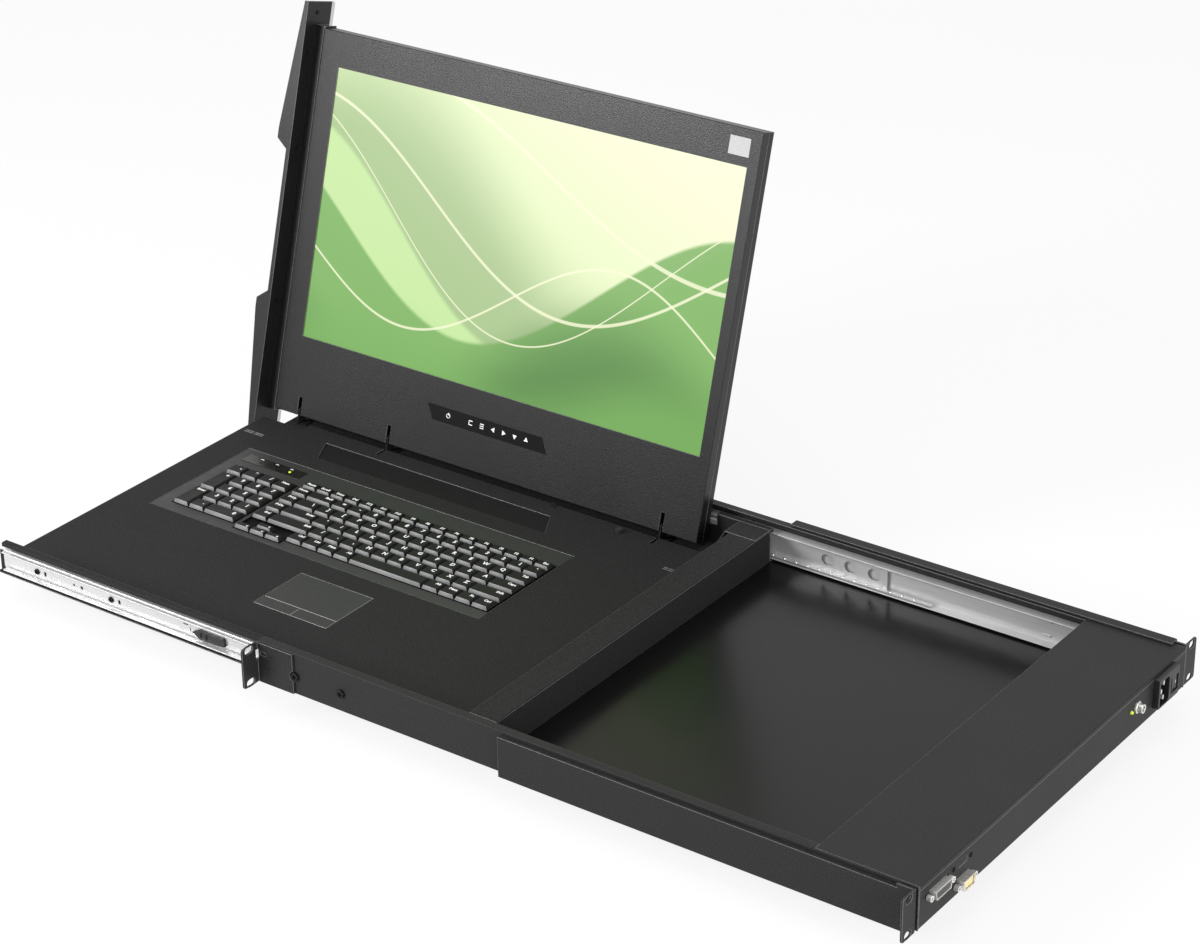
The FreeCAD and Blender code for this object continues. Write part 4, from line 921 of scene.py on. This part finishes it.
def dsub(name, node, at, width, height, spacing, out, insert_colour, pins):
    """A D-sub port: pressed shell with an open mouth, insert whose socket holes are dark discs of painted
    shade, and two hex nuts.
    """
    x, z = at
    shell = block(name + "_shell", (x - width / 2, x + width / 2), (REAR_Y - 1.0, REAR_Y + out),
                  (z - height / 2, z + height / 2))
    only(shell)
    bpy.ops.object.mode_set(mode="EDIT")
    mesh = bmesh.from_edit_mesh(shell.data)
    for vert in mesh.verts:
        if vert.co.z < z * MM:
            vert.co.x += (SHELL_TAPER if vert.co.x < x * MM else -SHELL_TAPER) * MM
    bmesh.update_edit_mesh(shell.data)
    choose_faces(shell, lambda c, n: n.y > 0.9)
    bpy.ops.mesh.inset(thickness=SHELL_WALL * MM)
    extrude(0, -MOUTH_DEPTH, 0)
    bpy.ops.object.mode_set(mode="OBJECT")
    soften(shell, PORT_EDGE)
    parts = [shell]
    for side in (-1, 1):
        nut = rod("nut", (x + side * spacing / 2, REAR_Y + 2.8, z), NUT_RADIUS, NUT_HEIGHT, (90, 0, 0), 6)
        only(nut)
        bpy.ops.object.mode_set(mode="EDIT")
        choose_faces(nut, lambda c, n: n.y > 0.9)
        bpy.ops.mesh.inset(thickness=NUT_WALL * MM)
        extrude(0, -NUT_HOLE, 0)
        bpy.ops.object.mode_set(mode="OBJECT")
        soften(nut, FINE_EDGE)
        parts.append(nut)
    metal = join(parts, name + "_metal")
    fit(metal, finish_for("connector_steel"), "chassis", "connector_steel", node)
    half = width / 2 - 2.6
    face = REAR_Y + out - INSERT_BEHIND
    insert = block(name + "_insert", (x - half, x + half), (REAR_Y + 0.8, face),
                   (z - height / 2 + 1.2, z + height / 2 - 1.2))
    soften(insert, PORT_EDGE)
    fit(insert, moulded(name + "_insert_plastic", insert_colour, 0.5), "chassis", "connector_steel")
    # Dark discs on the insert stand for its socket holes: painted shade.
    sockets = []
    for r, count in enumerate(pins):
        for k in range(count):
            px = x + (k - (count - 1) / 2) * (2 * half - 2.4) / max(pins)
            pz = z - (r - (len(pins) - 1) / 2) * (height - 4.2) / len(pins)
            sockets.append(rod("socket", (px, face, pz), SOCKET_HOLE_RADIUS, 0.06, (90, 0, 0), 12))
    holes = join(sockets, name + "_painted_shade_holes")
    fit(holes, print_material("dark_contact", linear("#111111")), "chassis", "connector_steel")


class CONSOLE_OT_ports(bpy.types.Operator):
    """Build the two D-sub ports and round the jack's edges"""
    bl_idname = "console.ports"
    bl_label = "Ports"

    def execute(self, context):
        tone = context.scene.console_colours
        dsub("video", "video_port", VIDEO_AT, width=24.6, height=8.2, spacing=32.0, out=6.0,
             insert_colour=linear("#4a4a4a"), pins=(8, 7, 8))
        dsub("data", "data_port", DATA_AT, width=18.0, height=10.0, spacing=24.8, out=7.0,
             insert_colour=tone.cream, pins=(5, 5, 5))
        formed("round_jack", FINE_EDGE)
        return {"FINISHED"}


class CONSOLE_OT_mains(bpy.types.Operator):
    """Shape the mains inlet, its three pins and the rocker with its mark"""
    bl_idname = "console.mains"
    bl_label = "Mains inlet"

    def execute(self, context):
        tone = context.scene.console_colours
        formed("power_inlet", INLET_EDGE)
        formed("power_rocker", INLET_EDGE)
        half_x, half_z = PIN_HALF
        pins = []
        for dx, dz in INLET_PINS:
            x, z = sum(INLET_X) / 2 + dx, sum(INLET_Z) / 2 + dz
            ends = [REAR_Y + y for y in PIN_ENDS]
            pin = block("pin", (x - half_x, x + half_x), ends, (z - half_z, z + half_z))
            soften(pin, INLET_EDGE)
            pins.append(pin)
        fit(join(pins, "inlet_pins"), finish_for("connector_steel"), "chassis", "inlet_black")
        turn = Matrix.Translation(Vector(ROCKER_AT) * MM) @ Matrix.Rotation(math.radians(ROCKER_REST), 4, "Z")
        bar = block("rocker_mark", *ROCKER_MARK)
        bar.data.transform(turn)
        fit(bar, print_material("white_rocker_ink", tone.legend), "rocker", "rocker_black")
        return {"FINISHED"}


class CONSOLE_OT_finishes(bpy.types.Operator):
    """Give every solid that still shows the material of its slot"""
    bl_idname = "console.finishes"
    bl_label = "Finishes"

    def execute(self, context):
        for node, solid in frame["nodes"].items():
            solid.data.materials.clear()
            solid.data.materials.append(finish_for(OWN_FINISH.get(node, SLOT_OF[node])))
        return {"FINISHED"}


def seen_rays(tree):
    """1 on rays that see the surround, directly, in a mirror or through glass, and 0 on those that light."""
    path = add(tree, "ShaderNodeLightPath")
    mirrored = math_node(tree, "MAXIMUM", path.outputs["Is Glossy Ray"], path.outputs["Is Transmission Ray"])
    return math_node(tree, "MAXIMUM", path.outputs["Is Camera Ray"], mirrored)


class CONSOLE_OT_stage(bpy.types.Operator):
    """Set the floor, the soft lamps, the pale surround and the camera"""
    bl_idname = "console.stage"
    bl_label = "Stage"

    def execute(self, context):
        scene = context.scene
        clear_selection()
        bpy.ops.mesh.primitive_plane_add(size=FLOOR_SIZE, location=(0, 0, CAD_BOX[0][2] - FLOOR_GAP))
        floor = context.object
        floor.name = "floor"
        made, tree, shader, place = new_material("matt_paper")
        mottle(tree, place, 900, 0.0, 1.0, shader.inputs["Base Color"],
               (linear("#f6f6f6"), linear("#fafafa")))
        shader.inputs["Roughness"].default_value = 0.95
        shader.inputs["Specular IOR Level"].default_value = 0.1
        glow = add(tree, "ShaderNodeEmission", {"Color": (1, 1, 1, 1), "Strength": 1.0})
        share = math_node(tree, "MULTIPLY", seen_rays(tree), FLOOR_GLOW)
        paper = add(tree, "ShaderNodeMixShader", None, {0: share, 1: shader, 2: glow})
        tree.links.new(paper.outputs[0], tree.nodes["Material Output"].inputs["Surface"])
        floor.data.materials.append(made)
        world = bpy.data.worlds.new("studio")
        world.use_nodes = True
        scene.world = world
        tree = world.node_tree
        fill = tree.nodes["Background"]
        fill.inputs["Color"].default_value = (1, 1, 1, 1)
        fill.inputs["Strength"].default_value = FILL_LIGHT
        white = add(tree, "ShaderNodeBackground", {"Color": (1, 1, 1, 1), "Strength": 1.0})
        mix = add(tree, "ShaderNodeMixShader", None, {0: seen_rays(tree), 1: fill, 2: white})
        tree.links.new(mix.outputs[0], tree.nodes["World Output"].inputs["Surface"])
        for name, place, aim, size, power in SOFTBOXES:
            lamp_data = bpy.data.lights.new(name, "AREA")
            lamp_data.size = size
            lamp_data.energy = power
            lamp_object = bpy.data.objects.new(name, lamp_data)
            lamp_object.location = place
            lamp_object.rotation_euler = (Vector(place) - Vector(aim)).to_track_quat("Z", "Y").to_euler()
            scene.collection.objects.link(lamp_object)
        azimuth, elevation, roll = (math.radians(a) for a in CAMERA_TURN)
        back = Vector((math.sin(azimuth) * math.cos(elevation), -math.cos(azimuth) * math.cos(elevation),
                       math.sin(elevation)))
        right = Vector((0, 0, 1)).cross(back).normalized()
        up = back.cross(right)
        side = math.cos(roll) * right + math.sin(roll) * up
        top = -math.sin(roll) * right + math.cos(roll) * up
        camera_data = bpy.data.cameras.new("camera")
        camera_data.lens = CAMERA_LENS
        camera_data.sensor_width = CAMERA_SENSOR
        camera_data.clip_end = CAMERA_FAR
        camera = bpy.data.objects.new("camera", camera_data)
        turn = Matrix((side, top, back)).transposed().to_4x4()
        camera.matrix_world = Matrix.Translation(Vector(CAMERA_AT) * MM) @ turn
        scene.collection.objects.link(camera)
        scene.camera = camera
        scene.view_settings.view_transform = "Standard"
        return {"FINISHED"}


class CONSOLE_PT_panel(bpy.types.Panel):
    bl_idname = "CONSOLE_PT_panel"
    bl_label = "Rack console drawer"
    bl_space_type = "VIEW_3D"
    bl_region_type = "UI"
    bl_category = "Console"

    def draw(self, context):
        for group in (context.scene.console_sizes, context.scene.console_colours):
            box = self.layout.box()
            for key in group.__annotations__:
                box.prop(group, key)
        for operator in STEPS:
            self.layout.operator(operator.bl_idname)


STEPS = (CONSOLE_OT_stage, CONSOLE_OT_finishes, CONSOLE_OT_sheet_metal, CONSOLE_OT_slides,
         CONSOLE_OT_keyboard, CONSOLE_OT_keys, CONSOLE_OT_legends, CONSOLE_OT_display_marks,
         CONSOLE_OT_fascia, CONSOLE_OT_ports, CONSOLE_OT_mains)
CLASSES = (ConsoleSizes, ConsoleColours, CONSOLE_PT_panel) + STEPS


def register():
    for item in CLASSES:
        bpy.utils.register_class(item)
    bpy.types.Scene.console_sizes = PointerProperty(type=ConsoleSizes)
    bpy.types.Scene.console_colours = PointerProperty(type=ConsoleColours)


def unregister():
    del bpy.types.Scene.console_colours
    del bpy.types.Scene.console_sizes
    for item in reversed(CLASSES):
        bpy.utils.unregister_class(item)


def main():
    register()
    for step in STEPS:
        group, name = step.bl_idname.split(".")
        getattr(getattr(bpy.ops, group), name)()
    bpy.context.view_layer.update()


if __name__ == "__main__":
    main()
